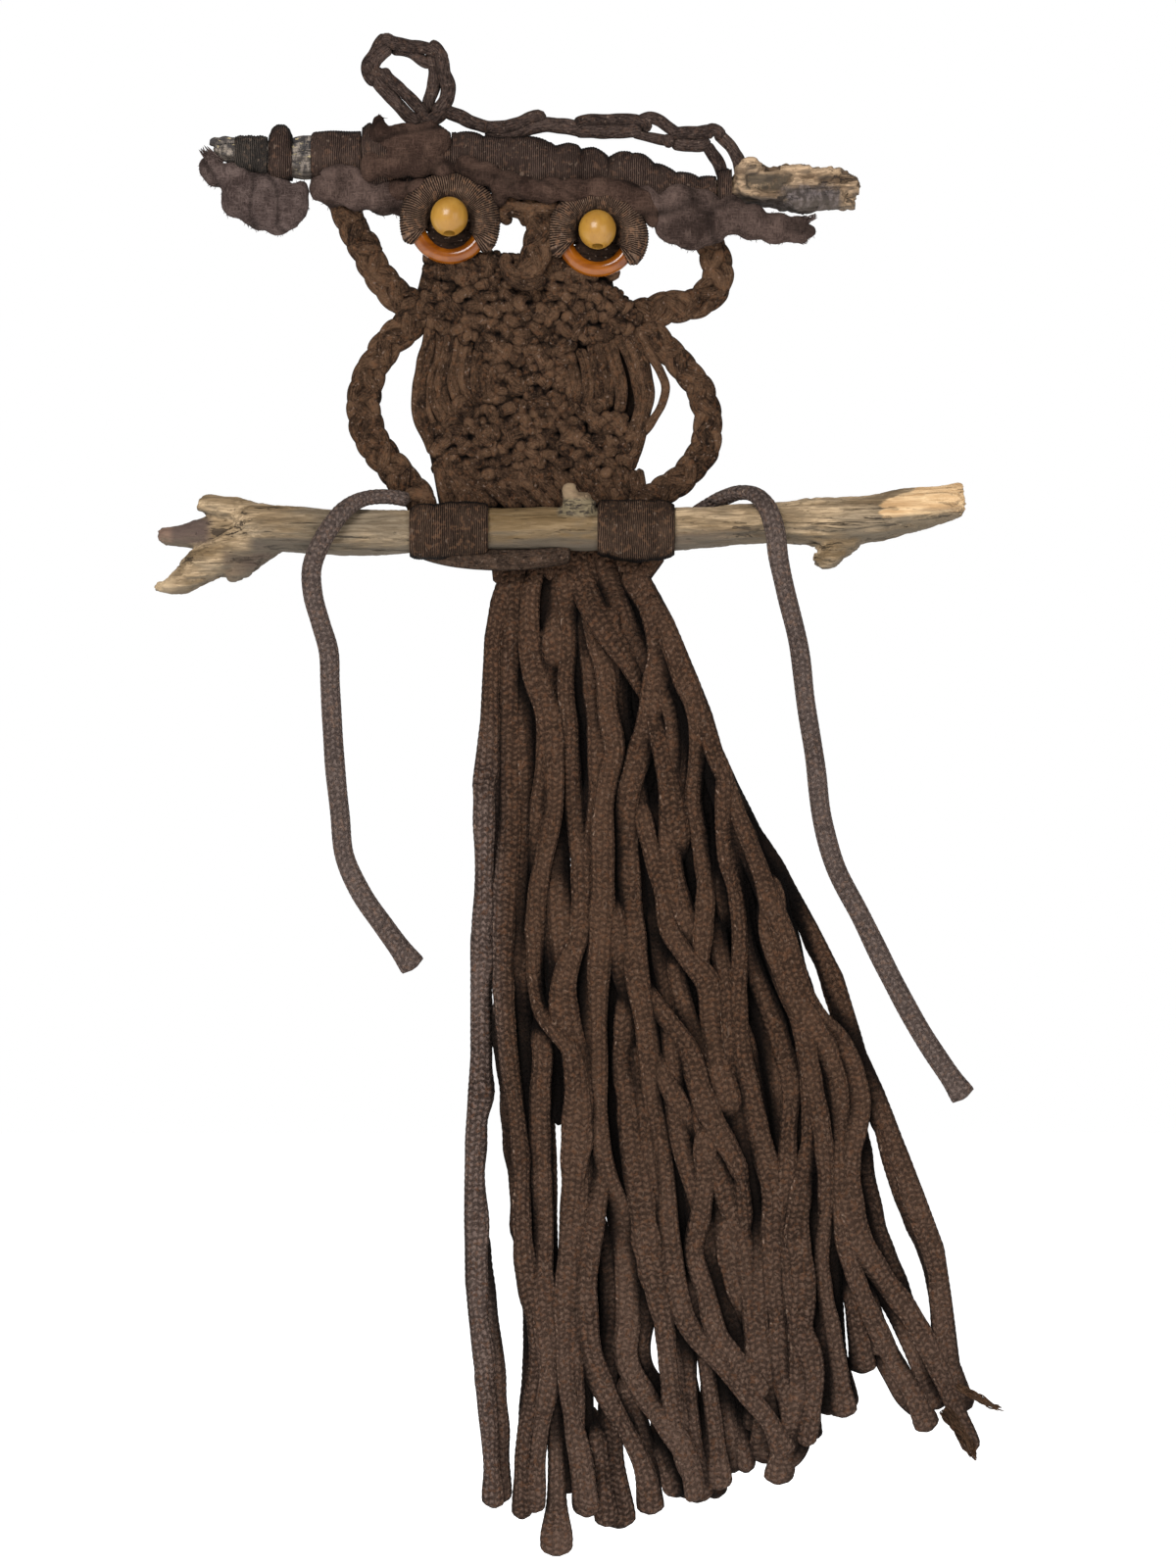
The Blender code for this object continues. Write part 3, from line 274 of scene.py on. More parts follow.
CHAIN_STRANDS = (
    (-1, 2.9, ((14, -23), (19.6, -25.1), (25.4, -27.9), (32.4, -30), (39.4, -30.2), (45.3, -28.8),
     (51.1, -26.1), (54.8, -25.5), (55.8, -27.9))),
    (1, 3.5, ((31.3, -31.1), (38.3, -32.5), (45.3, -31.6), (51.1, -29.7), (56.9, -28.8), (63.9, -29.3),
     (70.9, -30.4), (74.4, -31.4))),
    (-1, 2.6, ((69.8, -29), (74.4, -27.3), (81.4, -27), (89.6, -26.7), (96.6, -27.2), (100.7, -29.4),
     (98.9, -31.4))),
    (0.5, 3.2, ((69.8, -31), (76.8, -31.4), (84.9, -31.7), (93.1, -31.2), (98.9, -30.2))),
    (-1, 2.6, ((96.6, -28.2), (101.8, -26), (106.5, -27.4), (111.2, -30.9), (115.3, -33.7))),
    (1, 2.3, ((94.3, -32.1), (100.1, -33.7), (105.9, -35), (111.8, -35.8), (116.4, -36.5))),
    (-1, 3.1, ((110.6, -32.8), (117.6, -32.5), (124.6, -32.3), (129.9, -31.7))),
    (0.6, 3.1, ((111.5, -36.5), (118.2, -37.5), (124.6, -37.2), (128.1, -35.6))),
    (-2, 2.7, ((126.3, -31.7), (129.5, -31.1), (132.3, -33), (130.9, -36))),
    (-1, 2.8, ((131, -32.3), (134.5, -35.8), (138, -39.9), (140.3, -44.5), (141.2, -49.8), (140, -55.2))),
    (0.5, 2.7, ((126.3, -37), (129.3, -41.6), (132.2, -46.3), (133.9, -51), (136.7, -55.9))),
    (-1.6, 2.7, ((111.3, -33.5), (110.1, -35.8), (112.5, -37.7))),
)

# Wooden sticks: x, y, z, half depth, half height of each section.
TOP_BRANCH = ((-85, 0, -39, 2.6, 2.8), (-82, 0, -39, 5.2, 5.3), (-76, 0, -41, 6, 6.2),
              (-62, 0, -42.5, 6.8, 7),
              (-52, 0, -43, 8, 8), (-46, 0, -43, 9, 9.3), (-38, 0, -43, 8.4, 8.8), (-21, 0, -43, 7.4, 7.6),
              (17, 0, -45, 6.8, 7), (50, 0, -48.5, 7, 7.2), (80, 0, -51, 6.6, 6.8), (105, 0, -56, 6.2, 6.4),
              (131, 0, -58.6, 6, 6.2), (137, 0, -57.8, 6.4, 6.6), (141, 0, -54.4, 7.4, 9.2),
              (147, 0, -54, 7.6, 9.6),
              (154, 0, -55.4, 7, 8.6), (160, 0, -56, 7.6, 9.6), (168, 0, -55.6, 8.4, 10.6),
              (178, 0, -56, 8, 9.8),
              (185.5, 0, -57, 7, 8.4), (189, 0, -56.6, 6, 6.2))
BRANCH_LUMPS = ((145.6, -4, -47.4, 5.4, 6, 4.4), (166, -4, -49.4, 8, 5.4, 4.6), (177, -3, -50.6, 8, 6, 4),
                (188.6, -1, -55, 3.4, 6, 4),
                (187, -1, -61.5, 3, 5.4, 4), (171, -4, -60.6, 13, 6.6, 5.6), (181, -4, -60, 6, 6, 5),
                (-84.5, 0, -36.6, 2, 2.4, 1.6),
                (140.4, -6.5, -50, 2, 2.6, 3.4), (141.2, -7.5, -54, 2, 2.6, 3.2),
                (143.4, -8.4, -57.4, 2.6, 2.6, 2.4),
                (147, -9, -59.4, 2.8, 2.6, 2), (151, -9, -60.2, 2.8, 2.6, 1.9),
                (155, -8.8, -60, 2.8, 2.6, 1.9),
                (158.6, -8.4, -58.2, 2.6, 2.4, 2), (161.6, -8, -55.8, 2.6, 2.4, 1.9),
                (165, -7.6, -54.4, 2.8, 2.4, 1.8),
                (150, -5.6, -53.4, 3.6, 2.4, 1.3), (154.6, -6, -51, 3.6, 2.4, 1.4),
                (148, -5.4, -56.4, 3, 2, 1))
PERCH = ((-76, 0, -200, 5, 7.6), (-71, 0, -200.8, 8.4, 9.8), (-64, 0, -202, 10, 11),
         (-55, 0, -202.2, 9.8, 10.2),
         (-34, 0, -203.8, 9.6, 9.8), (-20, 0, -204.2, 9.8, 9.9), (-4, 0, -204, 9, 9.6),
         (17, 0, -203, 8.8, 9.2), (34, 0, -202.3, 8.8, 9.1),
         (59, 0, -202.2, 9, 9.1), (80, 0, -202.2, 8.8, 9), (113, 0, -202.4, 8.8, 9.2),
         (128, 0, -201.4, 8.6, 9),
         (141, 0, -200.2, 8.2, 8.6), (160, 0, -199.4, 8.4, 8.9), (176, 0, -199.6, 9.2, 10.4),
         (187, 0, -198.8, 9.4, 10.6), (202, 0, -197, 9.2, 10.2), (219, 0, -193.5, 8.2, 9.2),
         (234, 0, -190.2, 6.6, 7.8), (237, 0, -189.6, 5.2, 6.6))
# Side shoots of the perch: x, y, z, half width, half depth.
SHOOTS = (
    ((-60, 0, -204, 9.2, 8), (-72, 0.5, -208.4, 9.4, 8), (-82, 1, -213.4, 9, 7.6), (-91, 0.5, -218.8, 8, 6.6),
     (-99, 0, -224.6, 6, 5), (-105, 0, -227.2, 3.6, 3.4), (-110.6, 1, -228, 1.6, 1.6)),
    ((-60, 1, -200, 8, 7), (-70, 2, -197.4, 7, 6.6), (-80, 2.6, -193.4, 5.6, 5.2), (-88, 3, -191.4, 4.8, 4.4),
     (-92, 3, -190.8, 3.4, 3.4)),
    ((-66, 2, -204, 8, 6), (-86, 4, -203.4, 7, 5.6), (-93, 5, -204.2, 6.4, 5), (-100, 6, -205, 5.3, 4.6),
     (-107, 6.6, -205, 4, 3.6),
     (-109.6, 7, -204.6, 2.6, 2.4)),
    ((188, 0, -201, 9, 7), (183, -1, -209, 7.4, 6), (177.5, -2, -215.6, 5.4, 4.6), (174, -2, -218, 3.6, 3.4)),
    ((72, -3, -198, 7, 7), (71.4, -4.6, -192, 7.6, 6), (70.4, -5, -188, 5.6, 4.6)),
    ((68.4, -5.2, -189, 3.4, 3.2), (67, -5.6, -184.6, 2.8, 2.6), (67.4, -5.4, -183.6, 1.8, 1.8)),
    ((-57, -1, -209.4, 3.4, 3), (-65, -2, -213.6, 4.4, 3.4), (-73, -2.4, -219.6, 4.4, 3.2),
     (-79.6, -2, -224, 2.2, 2)),
)
STICK_SIDES = 20
WOOD_CELL = 1.05  # mm between the points that the grain is cut in

# Cord wound round a stick: x, half depth, half height, and how far its middle lies above the stick's.
TOP_WINDINGS = {
    "tip_winding": ((-76, 7.6, 7.8, 0), (-74, 8.8, 8.9, 0), (-72, 8.4, 8.6, 0), (-69.6, 8.9, 9, 0),
                    (-67.4, 8.4, 8.6, 0),
                    (-65, 9.1, 9.3, 0), (-62.2, 8.6, 8.8, 0)),
    "raised_coil": ((-61.5, 8.8, 9.2, 0), (-60.4, 10.4, 11.6, 1), (-58, 11.4, 12.6, 1.8),
                    (-54.6, 11.4, 12.4, 1.8),
                    (-52.4, 10.4, 11.2, 1), (-51.4, 9.2, 9.4, 0)),
    "fine_winding": ((-43.2, 9.6, 10, 0.4), (-42.4, 10.3, 10.9, 0.6), (-36, 10.1, 10.8, 0.9),
                     (-29, 10, 10.6, 1.1), (-22, 9.9, 10.6, 1.2)),
    "brow_winding": ((-21.4, 11.5, 13, 0), (-18.5, 12.5, 15.4, 0), (-14.5, 12.2, 14, 0), (-7, 11.8, 13, 1.4),
                     (1, 11.4, 13, 3.2), (7, 11, 13.6, 4.8), (12, 10.8, 12.4, 3.6), (16.6, 10, 10.6, 2.4)),
    "main_winding": ((17, 10, 10.6, 2.4), (19, 11, 11.6, 2.6), (30, 11.2, 12.2, 1.6), (38, 11.4, 12.8, 0.6),
                     (41, 12.6, 14.2, 0),
                     (50, 13.2, 15, 0), (59.4, 12.6, 14, 0), (61.6, 11, 12.2, 0), (67, 11.4, 12.4, 1.2),
                     (71.4, 11, 11.8, 1.6),
                     (73, 10, 10.4, 1.6), (78, 10.4, 10.8, 1.6), (83, 10, 10, 1.2), (85, 9.6, 9.6, 1),
                     (89, 10.4, 11.2, 1.6), (94, 11.2, 12.6, 1.8), (100, 11.2, 12.4, 1), (105, 10.6, 11, 0.2),
                     (110, 9.4, 9.6, -0.2),
                     (117, 8.6, 8.6, -0.4), (125, 8.2, 8, -0.4), (130.8, 8, 8, -0.2)),
    "hanger_tie": ((131.2, 8.8, 9.4, 0), (132.6, 10.2, 11, 0), (134.2, 9.4, 10.2, 0), (135.8, 10.2, 11, 0),
                   (137.4, 9, 9.8, 0)),
}
FEET = {
    "foot_left": ((-1, 10.4, 10.8, 0), (0.4, 11.8, 11.8, 0), (3, 12.2, 12.2, 0), (16, 12.5, 12.4, 0),
                  (29, 12.2, 12.2, 0),
                  (31.6, 11.8, 12, 0), (32.8, 10.4, 10.6, 0)),
    "foot_right": ((79.6, 10.4, 10.8, 0), (81, 12, 12.2, 0), (86, 12.6, 12.9, -0.2), (96, 13, 13.8, -0.8),
                   (106, 12.6, 13, -0.3),
                   (111.4, 11.8, 12, 0), (112.8, 10.4, 10.8, 0)),
}

# Eyes: a craft ring half wound with cord, and a bead in front of it.
EYES = {"left": (16.4, -71.6), "right": (79.6, -77.1)}
EYE_Y = -8.6
RING_RADIUS = 14.2
RING_THICK = 3.5
WINDING_RADIUS = 15.2
RING_WOUND = 6.5
WOUND_FROM = math.radians(-37)
WOUND_TO = math.radians(205)
BEAD_RADIUS = 8
BEAD_RISE = 1.8
BEAD_BORE = 2.5
BEAD_Y = EYE_Y - 9.2
BEAD_TILT = math.radians(22)

# Edges of the knotted body: z, left x, right x and y, down its height.
BODY_EDGES = ((-84, 6, 84, -1.4), (-104, 1, 88, 0.6), (-117, 6, 96, 2.4), (-130, 5.6, 100, 3.6),
              (-143, 3.6, 102, 4),
              (-154, 4.6, 100, 4.4), (-166, 6.4, 96.4, 5), (-177, 8.6, 94.4, 6.4), (-191, 11, 91, 9.2))
BODY_STRANDS = 13
# Rows of knots: z, first and last x.
KNOT_PITCH = 6.5
KNOT_ROWS = ((-88, 9, 81), (-93, 8, 82), (-97.8, 8, 81), (-102.4, 7, 84), (-107, 7, 90), (-111.6, 9, 93),
             (-116, 13, 91), (-120.4, 24, 78), (-124.8, 31, 66), (-129.2, 35, 62), (-133.6, 33, 64),
             (-138, 36, 61),
             (-142.4, 33, 64), (-146.8, 30, 68), (-151.2, 22, 80), (-155.6, 16, 88), (-160, 13, 91),
             (-164.4, 12, 92),
             (-168.8, 12, 92), (-173.2, 12.6, 91), (-177.6, 13, 89), (-182, 15, 87.6), (-186.6, 19, 85.6))

# Sinnets of square knots: x, y, z, half width, half depth.
WINGS = {
    "upper_left": ((-32.6, 0, -56, 5, 4.4), (-27.8, 1, -68, 5.8, 4.8), (-19.9, 2, -83, 5.9, 5),
                   (-11.3, 3, -97, 5.9, 4.8),
                   (1, 3, -106.6, 6.2, 4), (9, 2, -110, 5, 3)),
    "lower_left": ((7, 2, -107, 5, 3), (0.6, 2.4, -112.4, 6, 4), (-9.2, 3, -122, 6, 4.8),
                   (-18.4, 3, -136, 6.2, 4.8),
                   (-21, 3.4, -151, 6.6, 4.8), (-16, 4, -166, 6.6, 4.8), (-6.4, 5, -178, 6.4, 4.6),
                   (0, 4, -185.6, 6.4, 4.6),
                   (4, 2, -192, 6, 4.4), (5, 2, -197, 4, 3.4)),
    "upper_right": ((121.4, 1, -68.8, 5, 4), (127.4, 2, -79, 5.6, 4.6), (131.8, 3, -93.4, 6, 4.6),
                    (125.4, 3, -103.6, 6.2, 4.6),
                    (110, 3, -107, 6.2, 4.6), (97, 3, -111, 6.2, 4), (88, 2, -113, 5, 3)),
    "lower_right": ((90, 2, -110, 5, 3), (99, 2.4, -115.6, 5.4, 4.2), (109.4, 3, -125, 5.2, 4.8),
                    (120.8, 3, -138.2, 5.2, 4.8),
                    (127, 3.4, -153, 5.4, 4.8), (124.8, 4, -169.8, 5.6, 4.8), (115.4, 5, -181, 5.6, 4.6),
                    (104.6, 4, -187.6, 5.6, 4.2),
                    (98.6, 2, -192, 5.4, 4), (96.6, 2, -197, 4, 3.4)),
}
WING_PITCH = 7.2
BEAK = ((48, -7, -64, 4.2, 3.6), (54, -8, -69, 4.8, 4), (55, -9, -77, 5.6, 4.4), (53.4, -9.6, -85, 5.4, 4.4),
        (51, -9.6, -92, 5, 4), (49, -9, -96, 4, 3))


def in_mm(pixels, digits):
    """Points of the photo as x and z in millimetres."""
    left, top = PIXEL_ORIGIN
    return tuple((round((x - left) * PIXEL, digits), round((top - y) * PIXEL, digits)) for x, y in pixels)


def led_up(pixels):
    """A cord's points, with one more above them where it starts under the perch."""
    (x, y), (next_x, _) = pixels[:2]
    if not PERCH_EDGE[0] <= y < PERCH_EDGE[1]:
        return pixels
    return ((round(x - (next_x - x) * LED_ASIDE, 1), y - LED_UP),) + pixels


def route(rows, step):
    """Points about every step along a smooth line through the rows. Further columns follow along."""
    rows = np.array(rows, float)
    gaps = np.linalg.norm(np.diff(rows[:, :3], axis=0), axis=1)
    stops = np.concatenate([[0], np.cumsum(gaps)])
    slopes = np.gradient(rows, stops, axis=0)
    at = np.linspace(0, stops[-1], max(3, int(round(stops[-1] / step))) + 1)
    i = np.clip(np.searchsorted(stops, at, side="right") - 1, 0, len(rows) - 2)
    h = (stops[i + 1] - stops[i])[:, None]
    t = (at - stops[i])[:, None] / h
    return ((2 * t**3 - 3 * t**2 + 1) * rows[i] + (t**3 - 2 * t**2 + t) * h * slopes[i]
            + (3 * t**2 - 2 * t**3) * rows[i + 1] + (t**3 - t**2) * h * slopes[i + 1])


def unit(vectors):
    return vectors / np.maximum(np.linalg.norm(vectors, axis=-1, keepdims=True), 1e-9)


def wobble(points, size, seed):
    """A soft random swell from -1 to 1 at each point, with lumps of about this size."""
    rng = np.random.default_rng(seed)
    waves = unit(rng.normal(size=(9, 3))) * (rng.uniform(0.6, 1.5, (9, 1)) * 2 * math.pi / (2 * size))
    return np.sin(points @ waves.T + rng.uniform(0, 6.28, 9)).sum(axis=1) / 4.2


def tube(points, half_width, half_depth, facing=FACE_ON, sides=12, tip=0.0, closed=False, relief=None,
         tone=0.5):
    """One strand: its points, faces, pattern places and shade. tip rounds its ends over that length."""
    points = np.asarray(points, float)[:, :3]
    count = len(points)
    if closed:
        along = unit(np.roll(points, -1, axis=0) - np.roll(points, 1, axis=0))
    else:
        along = unit(np.gradient(points, axis=0))
    facing = np.broadcast_to(np.asarray(facing, float), points.shape)
    across = unit(np.cross(along, facing))
    out = np.cross(across, along)
    steps = np.linalg.norm(np.diff(points, axis=0), axis=1)
    length = np.concatenate([[0], np.cumsum(steps)])
    grow = np.ones(count)
    if tip and not closed:
        near = np.minimum(length, length[-1] - length)
        grow = np.sqrt(np.clip(1 - (1 - np.clip(near / tip, 0, 1)) ** 2, 0.06, 1))
    angle = np.arange(sides) * 2 * math.pi / sides
    wide = (np.asarray(half_width, float) * grow)[:, None, None] * np.cos(angle)[:, None]
    deep = (np.asarray(half_depth, float) * grow)[:, None, None] * np.sin(angle)[:, None]
    ring = across[:, None] * wide + out[:, None] * deep
    if relief is not None:
        ring = ring + unit(ring) * relief(length[:, None], (angle / (2 * math.pi))[None, :])[:, :, None]
    places = (points[:, None] + ring).reshape(-1, 3)
    rows = count if closed else count - 1
    i, j = np.meshgrid(np.arange(rows), np.arange(sides), indexing="ij")
    after, beside = (i + 1) % count, (j + 1) % sides
    quads = np.stack([i * sides + j, i * sides + beside, after * sides + beside, after * sides + j],
                     -1).reshape(-1, 4)
    reach = np.append(length, length[-1] + 1) if closed else length
    start = tone * 997.0
    u = np.stack([reach[i], reach[i], reach[i + 1], reach[i + 1]], -1) + start
    v = np.stack([j, j + 1, j + 1, j], -1) / sides
    caps = [] if closed else [np.arange(sides)[::-1], (count - 1) * sides + np.arange(sides)]
    return {"points": places, "quads": quads, "uv": np.stack([u, v], -1).reshape(-1, 2), "caps": caps,
            "start": start, "tone": np.full(len(places), tone), "lit": np.ones(len(places))}


def shade_pile(parts, reach=3, slack=0.5, fall=1.6, cell=0.8):
    """Painted shade: mark how far each point lies down between the strands round it, from the front or the
    back.
    """
    points = np.concatenate([part["points"] for part in parts])
    spot = ((points[:, (0, 2)] - points[:, (0, 2)].min(axis=0)) / cell + reach + 2).astype(int)
    i, j = spot.T
    shape = tuple(spot.max(axis=0) + reach + 3)
    lit = np.zeros(len(points))
    for side in (-1, 1):
        height = side * points[:, 1]
        top = np.full(shape, -99.0)
        np.maximum.at(top, (i, j), height)
        for axis in (0, 1):
            top = np.maximum.reduce([np.roll(top, shift, axis) for shift in (-1, 0, 1)])
        known = (top > -90).astype(float)
        total = top * known
        for axis in (0, 1):
            total, known = (sum(np.roll(grid, shift, axis) for shift in range(-reach, reach + 1))
                            for grid in (total, known))
        down = (total / np.maximum(known, 1))[i, j] - height
        lit = np.maximum(lit, np.exp(-np.clip(down - slack, 0, None) / fall))
    start = 0
    for part in parts:
        part["lit"] = lit[start:start + len(part["points"])]
        start += len(part["points"])
    return parts


def mesh_of(name, parts, finish, nodes=(), body="root"):
    """One piece from many strands, with its finish, riding on the body and standing for these nodes."""
    points, loops, starts, uv = [], [], [], []
    offset = corner = 0
    for part in parts:
        points.append(part["points"])
        loops.append((part["quads"] + offset).reshape(-1))
        starts.append(corner + 4 * np.arange(len(part["quads"])))
        uv.append(part["uv"])
        corner += 4 * len(part["quads"])
        for cap in part["caps"]:
            loops.append(cap + offset)
            starts.append([corner])
            uv.append(np.full((len(cap), 2), (part["start"], 0.25)))
            corner += len(cap)
        offset += len(part["points"])
    points, loops, starts = np.concatenate(points), np.concatenate(loops), np.concatenate(starts)
    mesh = bpy.data.meshes.new(name)
    mesh.vertices.add(len(points))
    mesh.vertices.foreach_set("co", (points * MM).astype(np.float32).reshape(-1))
    mesh.loops.add(len(loops))
    mesh.loops.foreach_set("vertex_index", loops.astype(np.int32))
    mesh.polygons.add(len(starts))
    mesh.polygons.foreach_set("loop_start", starts.astype(np.int32))
    mesh.update(calc_edges=True)
    mesh.uv_layers.new(name="strand").data.foreach_set("uv",
                                                       np.concatenate(uv).astype(np.float32).reshape(-1))
    for key in ("tone", "lit"):
        values = np.concatenate([part[key] for part in parts]).astype(np.float32)
        mesh.attributes.new(key, "FLOAT", "POINT").data.foreach_set("value", values)
    mesh.shade_smooth()
    mesh.validate()
    obj = bpy.data.objects.new(name, mesh)
    bpy.context.scene.collection.objects.link(obj)
    return dress(obj, finish, nodes, body)


def dress(obj, finish, nodes=(), body="root"):
    obj.data.materials.clear()
    obj.data.materials.append(finish)
    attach(obj, body)
    if nodes:
        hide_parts(*nodes)
    return obj


class Finish:
    """A material being mixed, with short ways to add its nodes."""

    def __init__(self, name, **sockets):
        self.material = bpy.data.materials.new(name)
        self.material.use_nodes = True
        self.tree = self.material.node_tree
        self.shader = self.tree.nodes["Principled BSDF"]
        for socket, value in sockets.items():
            self.shader.inputs[socket.replace("_", " ")].default_value = value

    def add(self, kind, inputs=(), **settings):
        node = self.tree.nodes.new("ShaderNode" + kind)
        for key, value in settings.items():
            setattr(node, key, value)
        for key, value in dict(inputs).items():
            if isinstance(value, bpy.types.NodeSocket):
                self.tree.links.new(value, node.inputs[key])
            else:
                node.inputs[key].default_value = value
        return node

    def math(self, operation, a, b=0.0):
        return self.add("Math", {0: a, 1: b}, operation=operation).outputs[0]

    def mix(self, factor, a, b):
        a, b = (c if isinstance(c, bpy.types.NodeSocket) else (*c, 1) for c in (a, b))
        return self.add("Mix", {0: factor, 6: a, 7: b}, data_type="RGBA").outputs[2]

    def band(self, value, low, high, to_low=0.0, to_high=1.0):
        """The value from low to high, smoothed and kept at the ends."""
        return self.add("MapRange", {0: value, 1: low, 2: high, 3: to_low, 4: to_high},
                        interpolation_type="SMOOTHSTEP").outputs[0]

    def place(self, stretch=(1, 1, 1), turn=(0, 0, 0)):
        coordinates = self.add("TexCoord").outputs["Object"]
        return self.add("Mapping", {"Vector": coordinates, "Scale": stretch, "Rotation": turn}).outputs[0]

    def noise(self, vector, scale, detail=3.0, roughness=0.55, distortion=0.0):
        return self.add("TexNoise", {"Vector": vector, "Scale": scale, "Detail": detail,
                                     "Roughness": roughness,
                                     "Distortion": distortion}).outputs[0]

    def strand(self):
        """Millimetres along the strand, and how far round it."""
        parts = self.add("SeparateXYZ", {0: self.add("UVMap", uv_map="strand").outputs[0]})
        return parts.outputs[0], parts.outputs[1]

    def tone(self):
        """The strand's own shade."""
        return self.add("Attribute", attribute_name="tone").outputs["Fac"]

    def lit(self, colour, low=0.0):
        """Painted shade: the colour in full on top of the pile, darker down between the strands."""
        depth = self.band(self.add("Attribute", attribute_name="lit").outputs["Fac"], 0.06, 1.0, low, 1.0)
        return self.mix(depth, (0.0024, 0.0015, 0.0011), colour)

    def lengthwise(self, ring, stretch):
        """A place that changes slowly along the strand and quickly round it, for fibres that run with it."""
        along, around = self.strand()
        angle = self.math("MULTIPLY", around, 2 * math.pi)
        parts = {0: self.math("MULTIPLY", self.math("COSINE", angle), ring),
                 1: self.math("MULTIPLY", self.math("SINE", angle), ring),
                 2: self.math("MULTIPLY", along, stretch)}
        return self.add("CombineXYZ", parts).outputs[0]

    def finish(self, colour=None, height=None, depth=0.0003, roughness=None, strength=1.0):
        if colour is not None:
            self.tree.links.new(colour, self.shader.inputs["Base Color"])
        if roughness is not None:
            self.tree.links.new(roughness, self.shader.inputs["Roughness"])
        if height is not None:
            bump = self.add("Bump", {"Height": height, "Distance": depth, "Strength": strength})
            self.tree.links.new(bump.outputs[0], self.shader.inputs["Normal"])
        return self.material


def soft(name, **sockets):
    """Matt yarn, which hardly shines."""
    return Finish(name, Roughness=1.0, Specular_IOR_Level=0.08, **sockets)


def braided_cord(name, dark, light, columns, stitch=2.8, faded=None):
    """Flat braid: columns of small leaning stitches, fuzzy, with pale glints of fibre along some of them."""
    f = soft(name)
    along, around = f.strand()
    column = f.math("MULTIPLY", around, float(columns))
    lean = f.math("PINGPONG", column, 1.0)
    waver = f.noise(f.place(), 260.0, 3.0, 0.6)
    row = f.math("ADD", f.math("ADD", f.math("DIVIDE", along, stitch), f.math("MULTIPLY", lean, 0.5)),
                 f.math("MULTIPLY", waver, 2.2))
    stitches = f.band(f.math("SINE", f.math("MULTIPLY", row, 2 * math.pi)), -1.0, 0.6)
    rib = f.math("ABSOLUTE", f.math("SINE", f.math("MULTIPLY", f.math("ADD", column, waver), math.pi)))
    fibres = f.noise(f.place((1, 1, 0.6)), 1300.0, 3.0, 0.8)
    tufts = f.noise(f.place((1, 1, 0.7)), 520.0, 3.0, 0.7)
    height = f.math("ADD", f.math("MULTIPLY", f.math("MULTIPLY", stitches, 0.6), f.math("ADD", rib, 0.3)),
                    f.math("MULTIPLY", f.math("ADD", fibres,
                                              f.math("ADD", tufts, f.math("MULTIPLY", rib, 0.2))), 0.6))
    # The colour follows the relief: partly painted shade down in the grooves between stitches and columns,
    # partly the cord's own uneven tone.
    shade = f.math("ADD", f.math("MULTIPLY", height, 0.42),
                   f.math("MULTIPLY", f.noise(f.place(), 60.0, 3.0), 0.4))
    shade = f.math("ADD", shade, f.math("MULTIPLY", f.math("SUBTRACT", f.tone(), 0.5), 0.25))
    pale = light
    if faded is not None:
        x, _, z = f.add("SeparateXYZ", {0: f.add("TexCoord").outputs["Object"]}).outputs
        edge = f.math("MULTIPLY", f.band(x, 0.043, 0.03), f.band(z, -0.26, -0.34))
        pale = f.mix(f.math("MAXIMUM", f.band(z, -0.4, -0.62, 0.0, 0.35), edge), light, faded)
    colour = f.mix(f.band(shade, 0.2, 0.95), dark, pale)
    ginger = f.band(f.noise(f.place(), 480.0, 1.0), 0.54, 0.7, 0.0, 0.5)
    colour = f.mix(ginger, colour, (light[0] * 1.2, light[1] * 0.98, light[2] * 0.8))
    speck = f.band(f.noise(f.place((1, 1, 0.6)), 850.0, 0.0), 0.7, 0.78)
    seam = f.band(f.math("COSINE", f.math("MULTIPLY", f.math("SUBTRACT", column, 0.6), 2 * math.pi / 6)), 0.6,
                  1.0)
    glints = f.math("MULTIPLY", speck, f.math("ADD", f.math("MULTIPLY", seam, 0.75), 0.3))
    colour = f.mix(f.math("MULTIPLY", glints, 0.62), colour, (0.25, 0.17, 0.125))
    return f.finish(f.lit(colour), height, 0.0011)


def brushed_yarn(name, dark, light, streaks=0.3):
    """Soft brushed yarn: a fuzzy skin over fine fibres that run with the cord."""
    f = soft(name)
    fuzz = f.noise(f.place(), 900.0, 4.0, 0.85)
    cloud = f.noise(f.place(), 200.0, 3.0, 0.6)
    fibres = f.noise(f.lengthwise(3.2, 0.22), 1.6, 3.0, 0.65)
    height = f.math("ADD", f.math("MULTIPLY", fuzz, 1.1), f.math("MULTIPLY", fibres, streaks * 1.8))
    shade = f.math("ADD", f.math("MULTIPLY", fuzz, 0.55), f.math("MULTIPLY", cloud, 0.35))
    shade = f.math("ADD", shade, f.math("MULTIPLY", f.math("SUBTRACT", fibres, 0.5), streaks * 1.6))
    shade = f.math("ADD", shade, f.math("MULTIPLY", f.math("SUBTRACT", f.tone(), 0.5), 0.16))
    colour = f.mix(f.band(shade, 0.26, 0.66), dark, light)
    ginger = f.band(f.noise(f.place(), 520.0, 1.0), 0.54, 0.7, 0.0, 0.35)
    colour = f.mix(ginger, colour, (light[0] * 1.2, light[1] * 0.98, light[2] * 0.8))
    speck = f.band(f.noise(f.place(), 800.0, 0.0), 0.73, 0.8)
    colour = f.mix(f.math("MULTIPLY", speck, 0.45), colour, (0.22, 0.155, 0.12))
    return f.finish(f.lit(colour), height, 0.0011)


